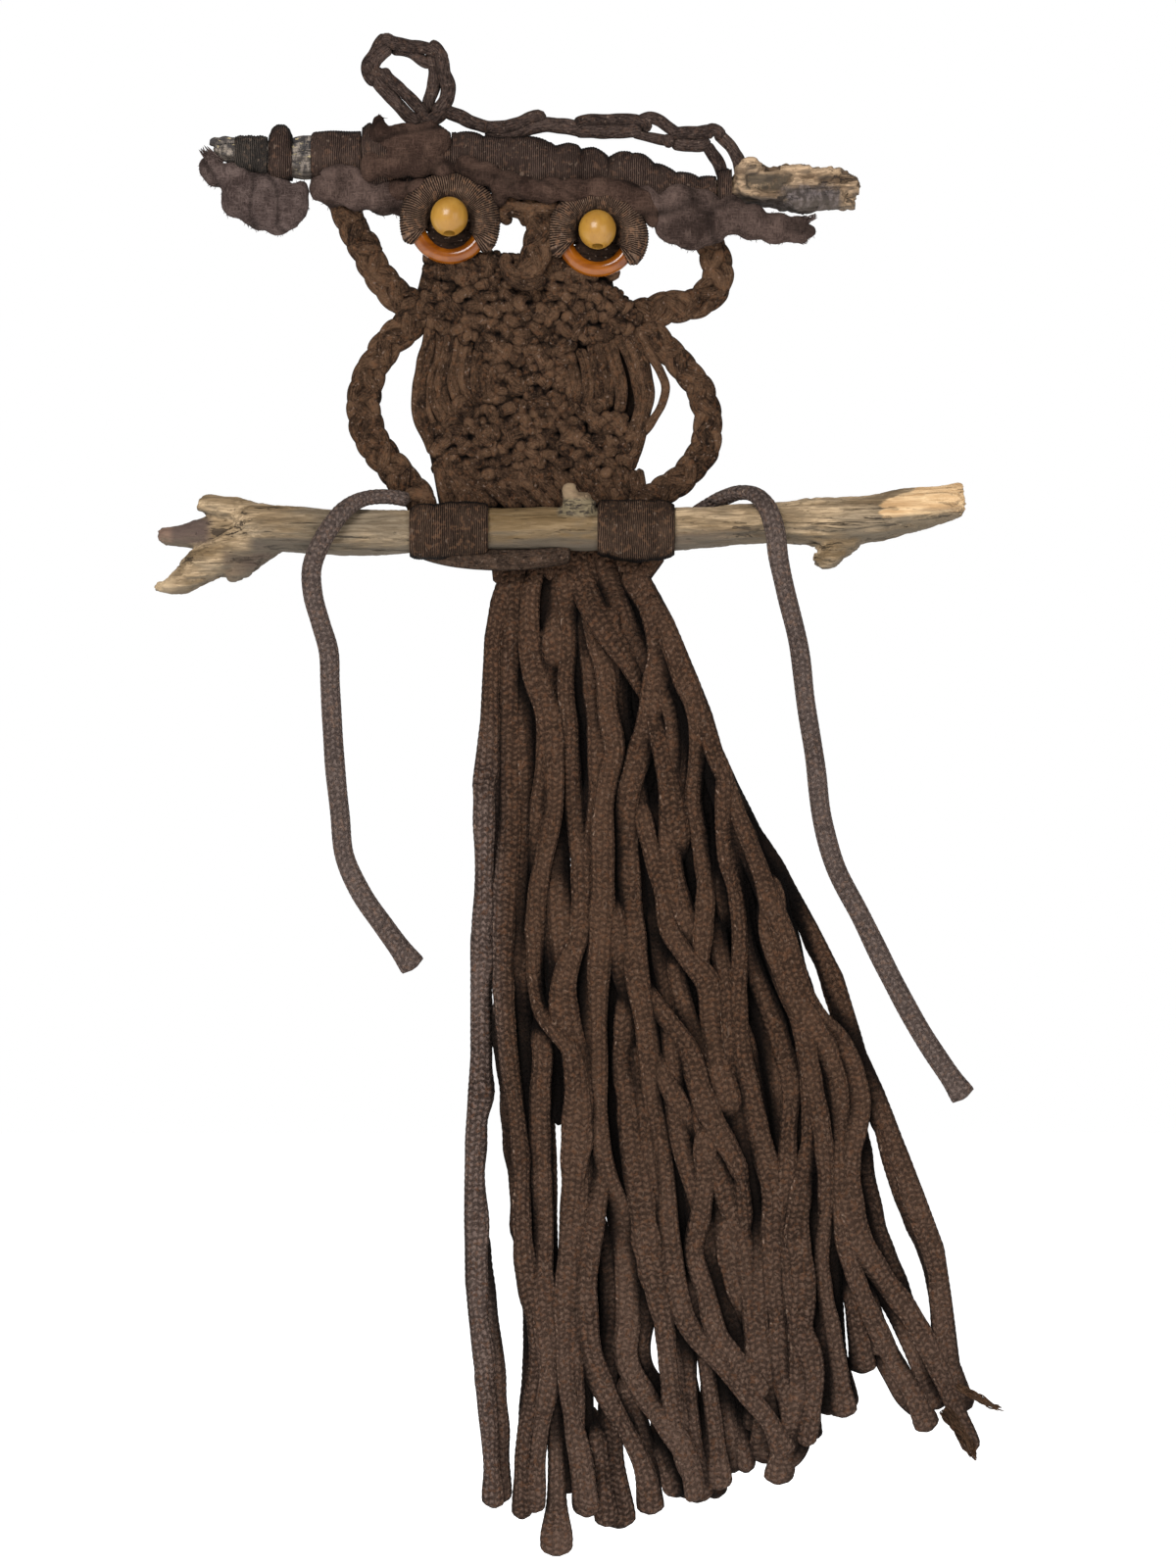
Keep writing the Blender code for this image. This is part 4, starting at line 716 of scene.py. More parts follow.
def wound_cord(name, dark, light, speck_colour=(0.25, 0.175, 0.13)):
    """Fine thread laid turn beside turn: uneven turns, crossed by loose fibres."""
    f = soft(name)
    along, _ = f.strand()
    patch = f.noise(f.place(), 80.0, 3.0)
    fibres = f.noise(f.place((1, 0.35, 0.35)), 1300.0, 3.0, 0.7)
    hanks = f.noise(f.place((1, 0.12, 0.12)), 330.0, 3.0, 0.6)
    turns = f.math("SINE", f.math("ADD", f.math("MULTIPLY", along, 2 * math.pi / 0.85),
                                  f.math("MULTIPLY", patch, 14.0)))
    height = f.math("ADD", f.math("MULTIPLY", f.band(turns, -1, 0.8), 0.55), f.math("MULTIPLY", fibres, 0.7))
    height = f.math("ADD", height, f.math("MULTIPLY", hanks, 0.5))
    # The colour follows the relief: partly painted shade in the grooves between the turns, partly the
    # thread's own uneven tone.
    shade = f.math("ADD", f.math("MULTIPLY", height, 0.45), f.math("MULTIPLY", patch, 0.3))
    colour = f.mix(f.band(shade, 0.45, 1.0), dark, light)
    ginger = f.band(f.noise(f.place(), 450.0, 1.0), 0.54, 0.7, 0.0, 0.3)
    colour = f.mix(ginger, colour, (light[0] * 1.2, light[1] * 0.98, light[2] * 0.8))
    speck = f.band(f.noise(f.place((1, 0.6, 0.6)), 700.0, 0.0), 0.73, 0.79)
    colour = f.mix(f.math("MULTIPLY", speck, 0.3), colour, speck_colour)
    return f.finish(f.lit(colour), height, 0.001)


def felted_fibre(name, dark, light):
    """Brushed-out yarn: soft clouds crossed by hair-fine fibres lying every way."""
    f = soft(name)
    cloud = f.noise(f.place(), 70.0, 4.0, 0.55, 0.8)
    hair_a = f.noise(f.place((1, 1, 0.14), (0, 0.5, 0)), 1500.0, 2.0, 0.7)
    hair_b = f.noise(f.place((0.14, 1, 1), (0, 0.35, 0)), 1500.0, 2.0, 0.7)
    hairs = f.math("MAXIMUM", hair_a, hair_b)
    shade = f.math("ADD", f.math("MULTIPLY", cloud, 0.7), f.math("MULTIPLY", hairs, 0.7))
    colour = f.mix(f.band(shade, 0.56, 0.98), dark, light)
    return f.finish(f.lit(colour), f.math("ADD", hairs, f.math("MULTIPLY", cloud, 0.6)), 0.0009)


def driftwood(name, pale, tan, grey, cracks, bark=None):
    """Weathered wood with its grain along x: pale ridges, warm streaks, grey patches and dark cracks."""
    f = Finish(name, Roughness=0.85, Specular_IOR_Level=0.2)
    grain = f.noise(f.place((0.08, 1, 1)), 900.0, 5.0, 0.65, 0.4)
    streak = f.noise(f.place((0.12, 1, 1)), 130.0, 4.0, 0.6, 0.6)
    patch = f.noise(f.place((0.4, 1, 1)), 42.0, 3.0, 0.6, 0.3)
    fleck = f.noise(f.place((0.35, 1, 1)), 700.0, 2.0, 0.6)
    colour = f.mix(f.band(streak, 0.36, 0.62), tan, pale)
    colour = f.mix(f.band(patch, 0.48, 0.66, 0.0, 0.75), colour, grey)
    colour = f.mix(f.band(grain, 0.6, 0.42, 0.0, 0.55), colour, tuple(0.45 * c for c in tan))
    crack = f.band(f.noise(f.place((0.07, 1, 1)), 240.0, 4.0, 0.75, 1.1), 0.42, 0.35)
    colour = f.mix(f.math("MULTIPLY", crack, 0.85), colour, cracks)
    colour = f.mix(f.band(fleck, 0.66, 0.74, 0.0, 0.6), colour, cracks)
    ends = f.add("SeparateXYZ", {0: f.add("TexCoord").outputs["Object"]})
    if bark is not None:
        colour = bark(f, colour, ends, patch, fleck)
    # Painted shade: faces that look downward are darkened towards grey.
    upright = f.add("SeparateXYZ", {0: f.add("NewGeometry").outputs["Normal"]}).outputs[2]
    colour = f.mix(f.band(upright, 0.1, -0.85, 0.0, 0.75), colour, tuple(0.6 * c for c in grey))
    height = f.math("SUBTRACT", f.math("ADD", grain, f.math("MULTIPLY", streak, 0.5)), crack)
    return f.finish(colour, height, 0.0009)


def perch_marks(f, colour, xyz, patch, fleck):
    """The perch's dark shoot, painted shade on its underside, grey bark knot and the clean split at its right
    end.
    """
    x, _, z = xyz.outputs
    rough = f.math("MULTIPLY", f.math("SUBTRACT", patch, 0.5), 0.012)
    # Painted shadow on the perch between the feet, under the body.
    shadow_between_feet = f.math("MULTIPLY", f.band(x, 0.02, 0.034), f.band(x, 0.084, 0.076))
    colour = f.mix(f.math("MULTIPLY", shadow_between_feet, 0.7), colour, (0.09, 0.054, 0.019))
    # Painted shade on the lower part of the perch's left end.
    deep = f.math("MULTIPLY", f.band(x, -0.072, -0.066), f.band(x, -0.033, -0.039))
    ragged_z = f.math("ADD", z, f.math("MULTIPLY", rough, 0.6))
    deep = f.math("MULTIPLY", deep, f.band(ragged_z, -0.2055, -0.2075))
    colour = f.mix(f.math("MULTIPLY", deep, 0.85), colour, (0.042, 0.034, 0.031))
    # Painted shade along the perch's underside.
    low = f.band(f.math("ADD", f.math("ADD", z, f.math("MULTIPLY", x, -0.045)), rough), -0.2085, -0.2125)
    low = f.math("MULTIPLY", low, f.band(x, -0.078, -0.066))
    low = f.math("MULTIPLY", low, f.band(x, 0.17, 0.12))
    colour = f.mix(f.math("MULTIPLY", low, 0.8), colour, (0.05, 0.036, 0.03))
    shoot = f.math("MULTIPLY", f.band(x, -0.084, -0.09), f.band(f.math("ADD", z, rough), -0.2115, -0.2085))
    shoot = f.math("MULTIPLY", shoot, f.band(z, -0.196, -0.199))
    bark = f.mix(f.band(x, -0.102, -0.1055), (0.07, 0.047, 0.041), (0.15, 0.092, 0.068))
    colour = f.mix(f.math("MULTIPLY", shoot, 0.9), colour, bark)
    chip = f.math("MULTIPLY", f.band(x, -0.083, -0.079), f.band(x, -0.057, -0.062))
    chip = f.math("MULTIPLY", chip, f.band(f.math("ADD", z, rough), -0.2105, -0.214))
    colour = f.mix(f.math("MULTIPLY", chip, 0.75), colour, (0.075, 0.052, 0.038))
    knot = f.math("MULTIPLY", f.band(x, 0.0615, 0.0635), f.band(x, 0.0815, 0.079))
    knot = f.math("MULTIPLY", knot, f.band(f.math("ADD", z, f.math("MULTIPLY", rough, 0.4)), -0.199, -0.1965))
    lichen = f.mix(f.band(fleck, 0.48, 0.6), (0.15, 0.118, 0.07), (0.03, 0.024, 0.018))
    lichen = f.mix(f.band(z, -0.1905, -0.1885, 0.0, 0.8), lichen, (0.22, 0.15, 0.09))
    colour = f.mix(f.math("MULTIPLY", knot, 0.9), colour, lichen)
    ragged = f.math("MULTIPLY", f.math("SUBTRACT", f.noise(f.place((0.25, 1, 1)), 500.0, 3.0), 0.5), 0.005)
    above = f.math("SUBTRACT", z, f.math("MULTIPLY", x, 0.09))
    below = f.math("SUBTRACT", f.math("ADD", z, ragged), f.math("MULTIPLY", x, 0.42))
    split = f.math("MULTIPLY", f.band(f.math("ADD", x, f.math("MULTIPLY", ragged, 2.0)), 0.2005, 0.2025),
                   f.math("MULTIPLY", f.band(f.math("ADD", above, f.math("MULTIPLY", ragged, 0.2)), -0.2168,
                                             -0.2158),
                          f.band(below, -0.2750, -0.2765)))
    grain = f.noise(f.place((0.06, 1, 1)), 480.0, 3.0, 0.6, 0.5)
    fresh = f.mix(f.band(grain, 0.35, 0.65), (0.44, 0.27, 0.13), (0.66, 0.46, 0.26))
    colour = f.mix(f.math("MULTIPLY", split, 0.9), colour, fresh)
    tip = f.math("MULTIPLY", f.band(x, -0.1, -0.106), f.band(z, -0.2185, -0.2225))
    return f.mix(f.math("MULTIPLY", tip, 0.6), colour, (0.45, 0.33, 0.2))


def branch_marks(f, colour, xyz, patch, fleck):
    """Black bark with yellow specks on the branch's left, and purple-grey bark under its right knob."""
    x, _, z = xyz.outputs
    rough = f.math("MULTIPLY", f.math("SUBTRACT", patch, 0.5), 0.02)
    left = f.band(x, 0.02, -0.02)
    mottle = f.noise(f.place((1, 0.5, 0.5)), 420.0, 3.0, 0.7)
    bark = f.mix(f.band(mottle, 0.42, 0.64), (0.026, 0.025, 0.027), (0.22, 0.185, 0.155))
    bark = f.mix(f.band(fleck, 0.62, 0.7), bark, (0.42, 0.34, 0.19))
    colour = f.mix(f.math("MULTIPLY", left, 0.95), colour, bark)
    # Painted shade in the recess of the right knob, patchy with the mottle.
    shaded_hollow = f.math("MULTIPLY", f.band(x, 0.141, 0.144), f.band(f.math("ADD", x, rough), 0.166, 0.158))
    shaded_hollow = f.math("MULTIPLY", shaded_hollow, f.math("MULTIPLY", f.band(z, -0.0495, -0.0515),
                                               f.band(z, -0.0585, -0.0565)))
    colour = f.mix(f.math("MULTIPLY", shaded_hollow, f.band(mottle, 0.62, 0.48, 0.15, 0.8)), colour,
                   (0.05, 0.04, 0.028))
    under = f.math("MULTIPLY", f.band(x, 0.1555, 0.1625), f.band(f.math("ADD", z, rough), -0.0545, -0.0575))
    base = f.math("MULTIPLY", f.band(x, 0.13, 0.136), f.band(z, -0.0605, -0.0625))
    under = f.math("MAXIMUM", under, base)
    under = f.math("MULTIPLY", under, f.band(f.math("SUBTRACT", x, f.math("MULTIPLY", rough, 0.6)), 0.1845,
                                             0.182))
    return f.mix(f.math("MULTIPLY", under, 0.92), colour,
                 f.mix(f.band(mottle, 0.4, 0.65), (0.03, 0.025, 0.024), (0.12, 0.098, 0.095)))


def amber(name):
    """Polished amber craft ring, a little cloudy inside."""
    f = Finish(name, Roughness=0.16, Specular_IOR_Level=0.3, Coat_Weight=0.25, Coat_Roughness=0.04)
    cloud = f.noise(f.place((0.4, 1, 1)), 120.0, 3.0, 0.6, 0.6)
    colour = f.mix(f.band(cloud, 0.3, 0.7), (0.095, 0.021, 0.0015), (0.215, 0.062, 0.0034))
    return f.finish(colour, f.noise(f.place(), 300.0, 2.0), 0.00006)


def bead_wood(name):
    """Pale turned wood under clear varnish, with its grain along the bore."""
    f = Finish(name, Roughness=0.4, Specular_IOR_Level=0.3, Coat_Weight=0.25, Coat_Roughness=0.1)
    grain = f.noise(f.place((1, 1, 0.12)), 900.0, 3.0, 0.6)
    ring = f.noise(f.place((1, 1, 0.3)), 150.0, 2.0)
    colour = f.mix(f.band(ring, 0.35, 0.7), (0.252, 0.12, 0.014), (0.315, 0.165, 0.025))
    colour = f.mix(f.band(grain, 0.58, 0.7, 0.0, 0.45), colour, (0.19, 0.082, 0.0096))
    return f.finish(colour, grain, 0.00008)


def plain_backdrop(name):
    f = Finish(name, Roughness=1.0, Base_Color=(0.9, 0.9, 0.9, 1), Emission_Color=(1, 1, 1, 1),
               Emission_Strength=0.8)
    return f.finish()


TAIL_FINISH = braided_cord("brown_braid", (0.0095, 0.005, 0.0031), (0.078, 0.043, 0.0265), 12,
                           faded=(0.13, 0.092, 0.077))
GREY_BRAID = braided_cord("greyed_braid", (0.025, 0.017, 0.0145), (0.112, 0.083, 0.071), 12)
YARN = brushed_yarn("brown_yarn", (0.008, 0.0044, 0.0028), (0.117, 0.0645, 0.0365))
FOOT_YARN = brushed_yarn("band_yarn", (0.009, 0.0056, 0.0042), (0.1, 0.064, 0.044))
# A darkened copy of the brown yarn: painted shade, for the cords behind the beads.
YARN_IN_PAINTED_SHADE = brushed_yarn("shaded_yarn", (0.007, 0.004, 0.0026), (0.03, 0.0165, 0.0105))
HANGER_YARN = brushed_yarn("hanger_yarn", (0.016, 0.0105, 0.0088), (0.086, 0.058, 0.0475), 0.55)
WOUND = wound_cord("wound_yarn", (0.0125, 0.0072, 0.005), (0.168, 0.104, 0.068))
EYE_WOUND = wound_cord("eye_yarn", (0.018, 0.0108, 0.0076), (0.3, 0.187, 0.124))
BRANCH_WOUND = wound_cord("branch_winding", (0.017, 0.0104, 0.0082), (0.138, 0.09, 0.069))
TIP_WOUND = wound_cord("tip_winding", (0.014, 0.0118, 0.0105), (0.115, 0.092, 0.076))
FELT = felted_fibre("felted_yarn", (0.019, 0.0102, 0.0075), (0.072, 0.0425, 0.031))
TUFT_FELT = felted_fibre("brushed_tuft", (0.026, 0.017, 0.015), (0.105, 0.075, 0.066))
RIGHT_FELT = felted_fibre("browner_tuft", (0.022, 0.0135, 0.011), (0.09, 0.06, 0.05))
PERCH_WOOD = driftwood("perch_wood", (0.42, 0.305, 0.185), (0.155, 0.102, 0.052), (0.15, 0.122, 0.088),
                       (0.022, 0.015, 0.011),
                       perch_marks)
BRANCH_WOOD = driftwood("branch_wood", (0.47, 0.325, 0.2), (0.12, 0.076, 0.044), (0.085, 0.066, 0.052),
                        (0.022, 0.016, 0.013), branch_marks)
AMBER = amber("amber")
BEAD = bead_wood("bead_wood")


# Free cords, then the camera.
def outward_from_perch(points):
    """The flat side of a cord over the perch looks away from the wood."""
    out = np.zeros_like(points)
    out[:, 1] = np.minimum(points[:, 1], np.where(points[:, 2] < -203, -6, points[:, 1]))
    out[:, 2] = np.maximum(points[:, 2] + 203, 0)
    return unit(out)


def braid_relief(columns, stitch, depth):
    """Stitches that stand up from a braid, leaning one way and the other in turn."""
    def relief(length, around):
        lean = np.abs((around * columns) % 2 - 1)
        rib = np.abs(np.sin(math.pi * around * columns))
        return depth * (rib * 0.6 + 0.4) * np.sin(2 * math.pi * (length / stitch + 0.5 * lean))
    return relief


def loose_cord(name):
    """A single flat cord over the perch, its end cut and a little spread."""
    points = route(LOOSE_CORDS[name], 1.2)
    left = np.arange(len(points))[::-1] * 1.2
    wide = LOOSE_WIDTH / 2 * (1 + 0.05 * wobble(points, 14,
                                                3) + 0.06 * np.exp(-(left / 60) ** 2) + 0.3
                              * np.exp(-(left / 8) ** 2))
    part = tube(points, wide, LOOSE_THICK / 2, outward_from_perch(points), 18, tip=1.6,
                relief=braid_relief(12, 2.8, 0.13), tone=0.55)
    cord = mesh_of("braid_" + name, [part], GREY_BRAID, [name])


def camera():
    data = bpy.data.cameras.new("camera")
    data.sensor_fit = "VERTICAL"
    data.sensor_height = 24
    data.lens = 12 / (PICTURE_HEIGHT / 2 / CAMERA_AWAY)
    obj = bpy.data.objects.new("camera", data)
    obj.location = (PICTURE[0], PICTURE[1] - CAMERA_AWAY, PICTURE[2])
    obj.rotation_euler = (math.pi / 2, 0, 0)
    bpy.context.scene.collection.objects.link(obj)
    bpy.context.scene.camera = obj


def light(name, place, size, power, colour=(1, 1, 1)):
    data = bpy.data.lights.new(name, "AREA")
    data.size = size
    data.energy = power
    data.color = colour
    obj = bpy.data.objects.new(name, data)
    obj.location = place
    aim = Vector((PICTURE[0], 0, PICTURE[2])) - Vector(place)
    obj.rotation_euler = aim.to_track_quat("-Z", "Y").to_euler()
    bpy.context.scene.collection.objects.link(obj)


SKY_LIGHT = 0.3


def studio():
    """A pale floor, soft lights and an even pale sky."""
    bpy.ops.object.select_all(action="DESELECT")
    bpy.ops.mesh.primitive_plane_add(size=14, location=(0, 0, -0.9))
    floor = bpy.context.object
    floor.name = "floor"
    bpy.ops.object.transform_apply(location=True)
    floor.data.materials.append(plain_backdrop("pale_floor"))
    light("key", (-0.7, -1.9, 0.9), 1.1, 60)
    light("fill", (1.5, -1.9, 0.1), 1.5, 18)
    light("behind", (0.4, 2.2, 1.6), 2.0, 40)
    world = bpy.data.worlds.new("sky")
    world.use_nodes = True
    sky = world.node_tree
    sky.nodes["Background"].inputs["Color"].default_value = (1, 1, 1, 1)
    seen_directly = sky.nodes.new("ShaderNodeLightPath").outputs["Is Camera Ray"]
    strength = sky.nodes.new("ShaderNodeMapRange")
    strength.inputs["To Min"].default_value = SKY_LIGHT
    sky.links.new(seen_directly, strength.inputs["Value"])
    sky.links.new(strength.outputs[0], sky.nodes["Background"].inputs["Strength"])
    bpy.context.scene.world = world
    bpy.context.scene.view_settings.view_transform = "Standard"


# Tail of flat braided cords.
TAIL_THICK = 5.4
TAIL_WIDE = 9.5
TAIL_BACK = 9.0  # how far back the deepest cords lie
NECK_Y = 7.0
NECK_BELOW = -246  # where the cords start to draw together
NECK_HIGH = 32
INNER_START = -262  # a cord that starts below this comes out from inside the tail
INNER_END = -540  # and one that ends above this goes back into it
DIVE_LENGTH = 16
DIVE_DEPTH = 5.5
FIRST_SEED = 30  # of the first front cord; the cords under it count down from here
MIDDLE_CORDS = 13
BEHIND_ASIDE = (4.2, -3.8, 6.5)  # how far to the side of its neighbour a cord behind hangs, by turns


def lay_cords(rows_of_cords, step=1.5):
    """Each cord laid over those before it, so that it rises where it crosses them."""
    cell = 1.0
    x0, z0 = 0.0, -660.0
    front = np.full((280, 480), -TAIL_BACK)  # how far forward the pile reaches in each cell
    laid = []
    for rows in rows_of_cords:
        points = route([(x, 0, z) for x, z in rows], step)
        side = unit(np.cross(unit(np.gradient(points, axis=0)), FACE_ON))
        spread = np.linspace(-0.42, 0.42, 7) * TAIL_WIDE
        spots = points[:, None] + side[:, None] * spread[None, :, None]
        i = np.clip(((spots[..., 0] - x0) / cell).astype(int), 0, front.shape[0] - 1)
        j = np.clip(((spots[..., 2] - z0) / cell).astype(int), 0, front.shape[1] - 1)
        under = front[i, j]
        rest = 0.35 * under.max(axis=1) + 0.65 * under.mean(axis=1)
        reach = np.exp(-((np.arange(-8, 9) * step / 7.0) ** 2))
        rest = np.convolve(np.pad(rest, 8, mode="edge"), reach / reach.sum(), mode="valid")
        height = rest + TAIL_THICK * 0.42
        profile = TAIL_THICK / 2 * np.sqrt(1 - (spread / (0.5 * TAIL_WIDE)) ** 2)
        front[i, j] = np.maximum(under, height[:, None] + profile[None, :])
        points[:, 1] = -height
        laid.append(points)
    return laid


def smooth_step(t):
    t = np.clip(t, 0, 1)
    return t * t * (3 - 2 * t)


def side_of_tail(side, z):
    """The x of one side of the tail at each height."""
    x, height = np.array(in_mm(side, 1)).T
    return np.interp(-z, -height, x)


def tail_cord(points, seed, sides=14, braid=0.22):
    """One cord, drawn back to the neck at its top.

    An end inside the tail dives under its neighbours, and the other ends spread.
    """
    rng = np.random.default_rng(40 + seed)
    neck = smooth_step((points[:, 2] - NECK_BELOW) / NECK_HIGH)
    points[:, 1] = np.maximum(points[:, 1] * (1 - neck) + (NECK_Y + 0.3 * (points[:, 1] + 5)) * neck, -19)
    length = np.concatenate([[0], np.cumsum(np.linalg.norm(np.diff(points, axis=0), axis=1))])
    left = length[-1] - length
    dive = np.zeros(len(points))
    if points[0, 2] < INNER_START:
        dive += 1 - smooth_step(length / DIVE_LENGTH)
    if points[-1, 2] > INNER_END:
        dive += 1 - smooth_step(left / DIVE_LENGTH)
        spread = 0
    else:
        spread = 0.24 * np.exp(-((left - 5) / 9) ** 2)
    points[:, 1] += DIVE_DEPTH * dive * np.where(points[:, 1] > 5, -0.6, 1)  # the deepest cords dive forward
    twist = wobble(points, 46, 300 + seed)
    swell = (1 + 0.085 * wobble(points, 9, 70 + seed) + spread) * (1 - 0.55 * dive)
    wide = TAIL_WIDE / 2 * swell * (1 + 0.2 * np.clip(twist * 1.6, -1, 1)) * rng.uniform(0.95, 1.1)
    leftmost, rightmost = (side_of_tail(side, points[:, 2]) for side in (TAIL_LEFT_SIDE, TAIL_RIGHT_SIDE))
    points[:, 0] = np.clip(points[:, 0], leftmost + 0.93 * wide, rightmost - 0.93 * wide)
    deep = TAIL_THICK / 2 * (1 - 0.12 * twist) * (1 - 0.4 * dive)
    turn = 0.6 * wobble(points, 60, 200 + seed)
    facing = np.stack([np.sin(turn), -np.cos(turn), np.zeros(len(turn))], axis=1)
    return tube(points, wide, deep, facing, sides, tip=4.0, relief=braid_relief(12, 2.8, braid),
                tone=rng.uniform(0.25, 0.75))


def frayed_bundle(rows, size, seed, count=34):
    """A cord's end that has come undone: wavy filaments side by side, some shorter than others."""
    rng = np.random.default_rng(seed)
    line = route([(x, y, z) for x, y, z in rows], 1.2)
    along = np.linspace(0, 1, len(line))[:, None]
    across = unit(np.cross(unit(np.gradient(line, axis=0)), FACE_ON))
    filaments = []
    for number in range(count):
        stop = max(4, int(len(line) * rng.uniform(0.55, 1.0)))
        side, deep = np.clip(rng.normal(0, 0.5, 2), -1, 1) * size
        wave = 0.8 * wobble(line, 4, seed * 100 + number)[:, None]
        drawn = 1 - 0.25 * along
        points = line + across * (side * drawn + wave) + np.array((0.0, 1.0,
                                                                   0.0)) * (deep * drawn + 0.5 * wave)
        filaments.append(tube(points[:stop], 0.38, 0.38, sides=5, tip=3, tone=rng.uniform(0.2, 0.9)))
    return filaments


def behind(rows, number):
    """A cord that hangs behind another, from the neck down to near its end."""
    shift = BEHIND_ASIDE[number % len(BEHIND_ASIDE)]
    top = 40 + (rows[0][0] - 25) * 0.62 if rows[0][1] < -260 else rows[0][0]
    first = [(min(max(top, 39), 107), -236)] if rows[0][1] < -245 else []
    last = rows[-1]
    body = [(max(x + shift, 37 + 0.02 * max(0, -380 - z)), z) for x, z in rows[:-1]]
    return first + body + [(last[0] + shift * 0.6, last[1] + 9 + 3 * (number % 4))]


def tail():
    under_rows, front_rows = ([in_mm(led_up(cord), 0) for cord in cords] for cords in (TAIL_UNDER,
                                                                                       TAIL_CORDS))
    hidden = [behind(rows, number) for number, rows in enumerate(front_rows) if number not in LONE_CORDS]
    laid = lay_cords(hidden + under_rows + front_rows)
    deep, under = len(hidden), len(hidden) + len(under_rows)
    first = FIRST_SEED - len(under_rows)
    parts = [tail_cord(points, first + number, 10, 0) if number < deep else tail_cord(points, first + number)
             for number, points in enumerate(laid)]
    # Painted shade on the cords lying down between and behind the others.
    shade_pile(parts, reach=6, slack=0.5, fall=1.7, cell=1.0)
    groups = {"tail_behind": parts[:deep], "tail_under": parts[deep:under],
              "tail_middle": parts[under:under + MIDDLE_CORDS],
              "tail_front": parts[under + MIDDLE_CORDS:]}
    for name, group in groups.items():
        mesh_of(name, group, TAIL_FINISH, ["tail"] if name == "tail_front" else ())
    wisps = []
    for number, (size, rows) in enumerate(FRAYED):
        wisps += frayed_bundle(rows, size, 21 + number)
    mesh_of("tail_wisps", wisps, YARN)


# Cord wound round the sticks.
def winding(name, rows, line, finish, pitch=1.15, depth=0.2, seed=1, lumps=0.35,
            hanks=0.0):
    """Turns of cord side by side round a stick.

    line gives the stick's middle height at x, and hanks makes the turns bulge.
    """
    rows = np.array(rows, float)
    reach = rows[-1, 0] - rows[0, 0]
    x = np.linspace(rows[0, 0], rows[-1, 0], int(reach / (pitch / 4)) + 1)
    deep, high, rise = (np.interp(x, rows[:, 0], rows[:, k]) for k in (1, 2, 3))
    kernel = np.ones(5) / 5
    deep, high = (np.convolve(np.pad(v, 2, mode="edge"), kernel, mode="valid") for v in (deep, high))
    sides = 30
    angle = np.arange(sides) * 2 * math.pi / sides
    centre = np.interp(x, *line) + rise
    base = np.stack([np.repeat(x[:, None], sides, 1), deep[:, None] * np.cos(angle),
                     high[:, None] * np.sin(angle)], -1)
    flat = base.reshape(-1, 3)
    uneven = wobble(flat, 9, seed).reshape(base.shape[:2])
    phase = x[:, None] / pitch + angle / (2 * math.pi) + 0.5 * uneven
    knobbly = lumps * wobble(flat, 6, seed + 1).reshape(base.shape[:2])
    swell = depth * np.abs(np.sin(math.pi * phase)) - depth + knobbly
    drift = np.sin(angle[None, :] * 2 + x[:, None] / 9).mean(axis=1)
    bunch = x / 11.5 + 0.35 * np.sin(x / 17.0) + 0.12 * drift
    bulge = (np.abs(np.sin(math.pi * bunch)) ** 0.6 - 0.75)[:, None]
    swell = swell + hanks * bulge * (0.7 + 0.3 * np.sin(angle + 0.6))
    base = base + unit(base * (0, 1, 1)) * swell[..., None]
    base[..., 2] += centre[:, None]
    count = len(x)
    i, j = np.meshgrid(np.arange(count - 1), np.arange(sides), indexing="ij")
    beside = (j + 1) % sides
    quads = np.stack([i * sides + j, (i + 1) * sides + j, (i + 1) * sides + beside, i * sides + beside], -1)
    u = np.stack([x[i], x[i + 1], x[i + 1], x[i]], -1)
    v = np.stack([j, j, j + 1, j + 1], -1) / sides
    part = {"points": base.reshape(-1, 3), "quads": quads.reshape(-1, 4),
            "uv": np.stack([u, v], -1).reshape(-1, 2),
            "caps": [np.arange(sides), (count - 1) * sides + np.arange(sides)[::-1]], "start": 0.0,
            "tone": np.full(count * sides, 0.5), "lit": np.ones(count * sides)}
    return mesh_of("wound_" + name, shade_pile([part], reach=4, slack=0.3, fall=1.6), finish, [name])


def stick_line(rows):
    rows = np.array(rows, float)
    return rows[:, 0], rows[:, 2]


def windings():
    for number, (name, rows) in enumerate(TOP_WINDINGS.items()):
        depth = 0.42 if name in ("hanger_tie", "tip_winding") else 0.22
        pitch = 1.9 if name == "hanger_tie" else 1.15
        hanks = 1.5 if rows[-1][0] - rows[0][0] > 40 else 0.0
        finish = TIP_WOUND if name == "tip_winding" else BRANCH_WOUND
        winding(name, rows, stick_line(TOP_BRANCH), finish, pitch=pitch, depth=depth, seed=10 * number + 3,
                hanks=hanks)
    for number, (name, rows) in enumerate(FEET.items()):
        winding(name, rows, stick_line(PERCH), WOUND, pitch=1.1, depth=0.24, seed=90 + number, lumps=0.45,
                hanks=0.7)


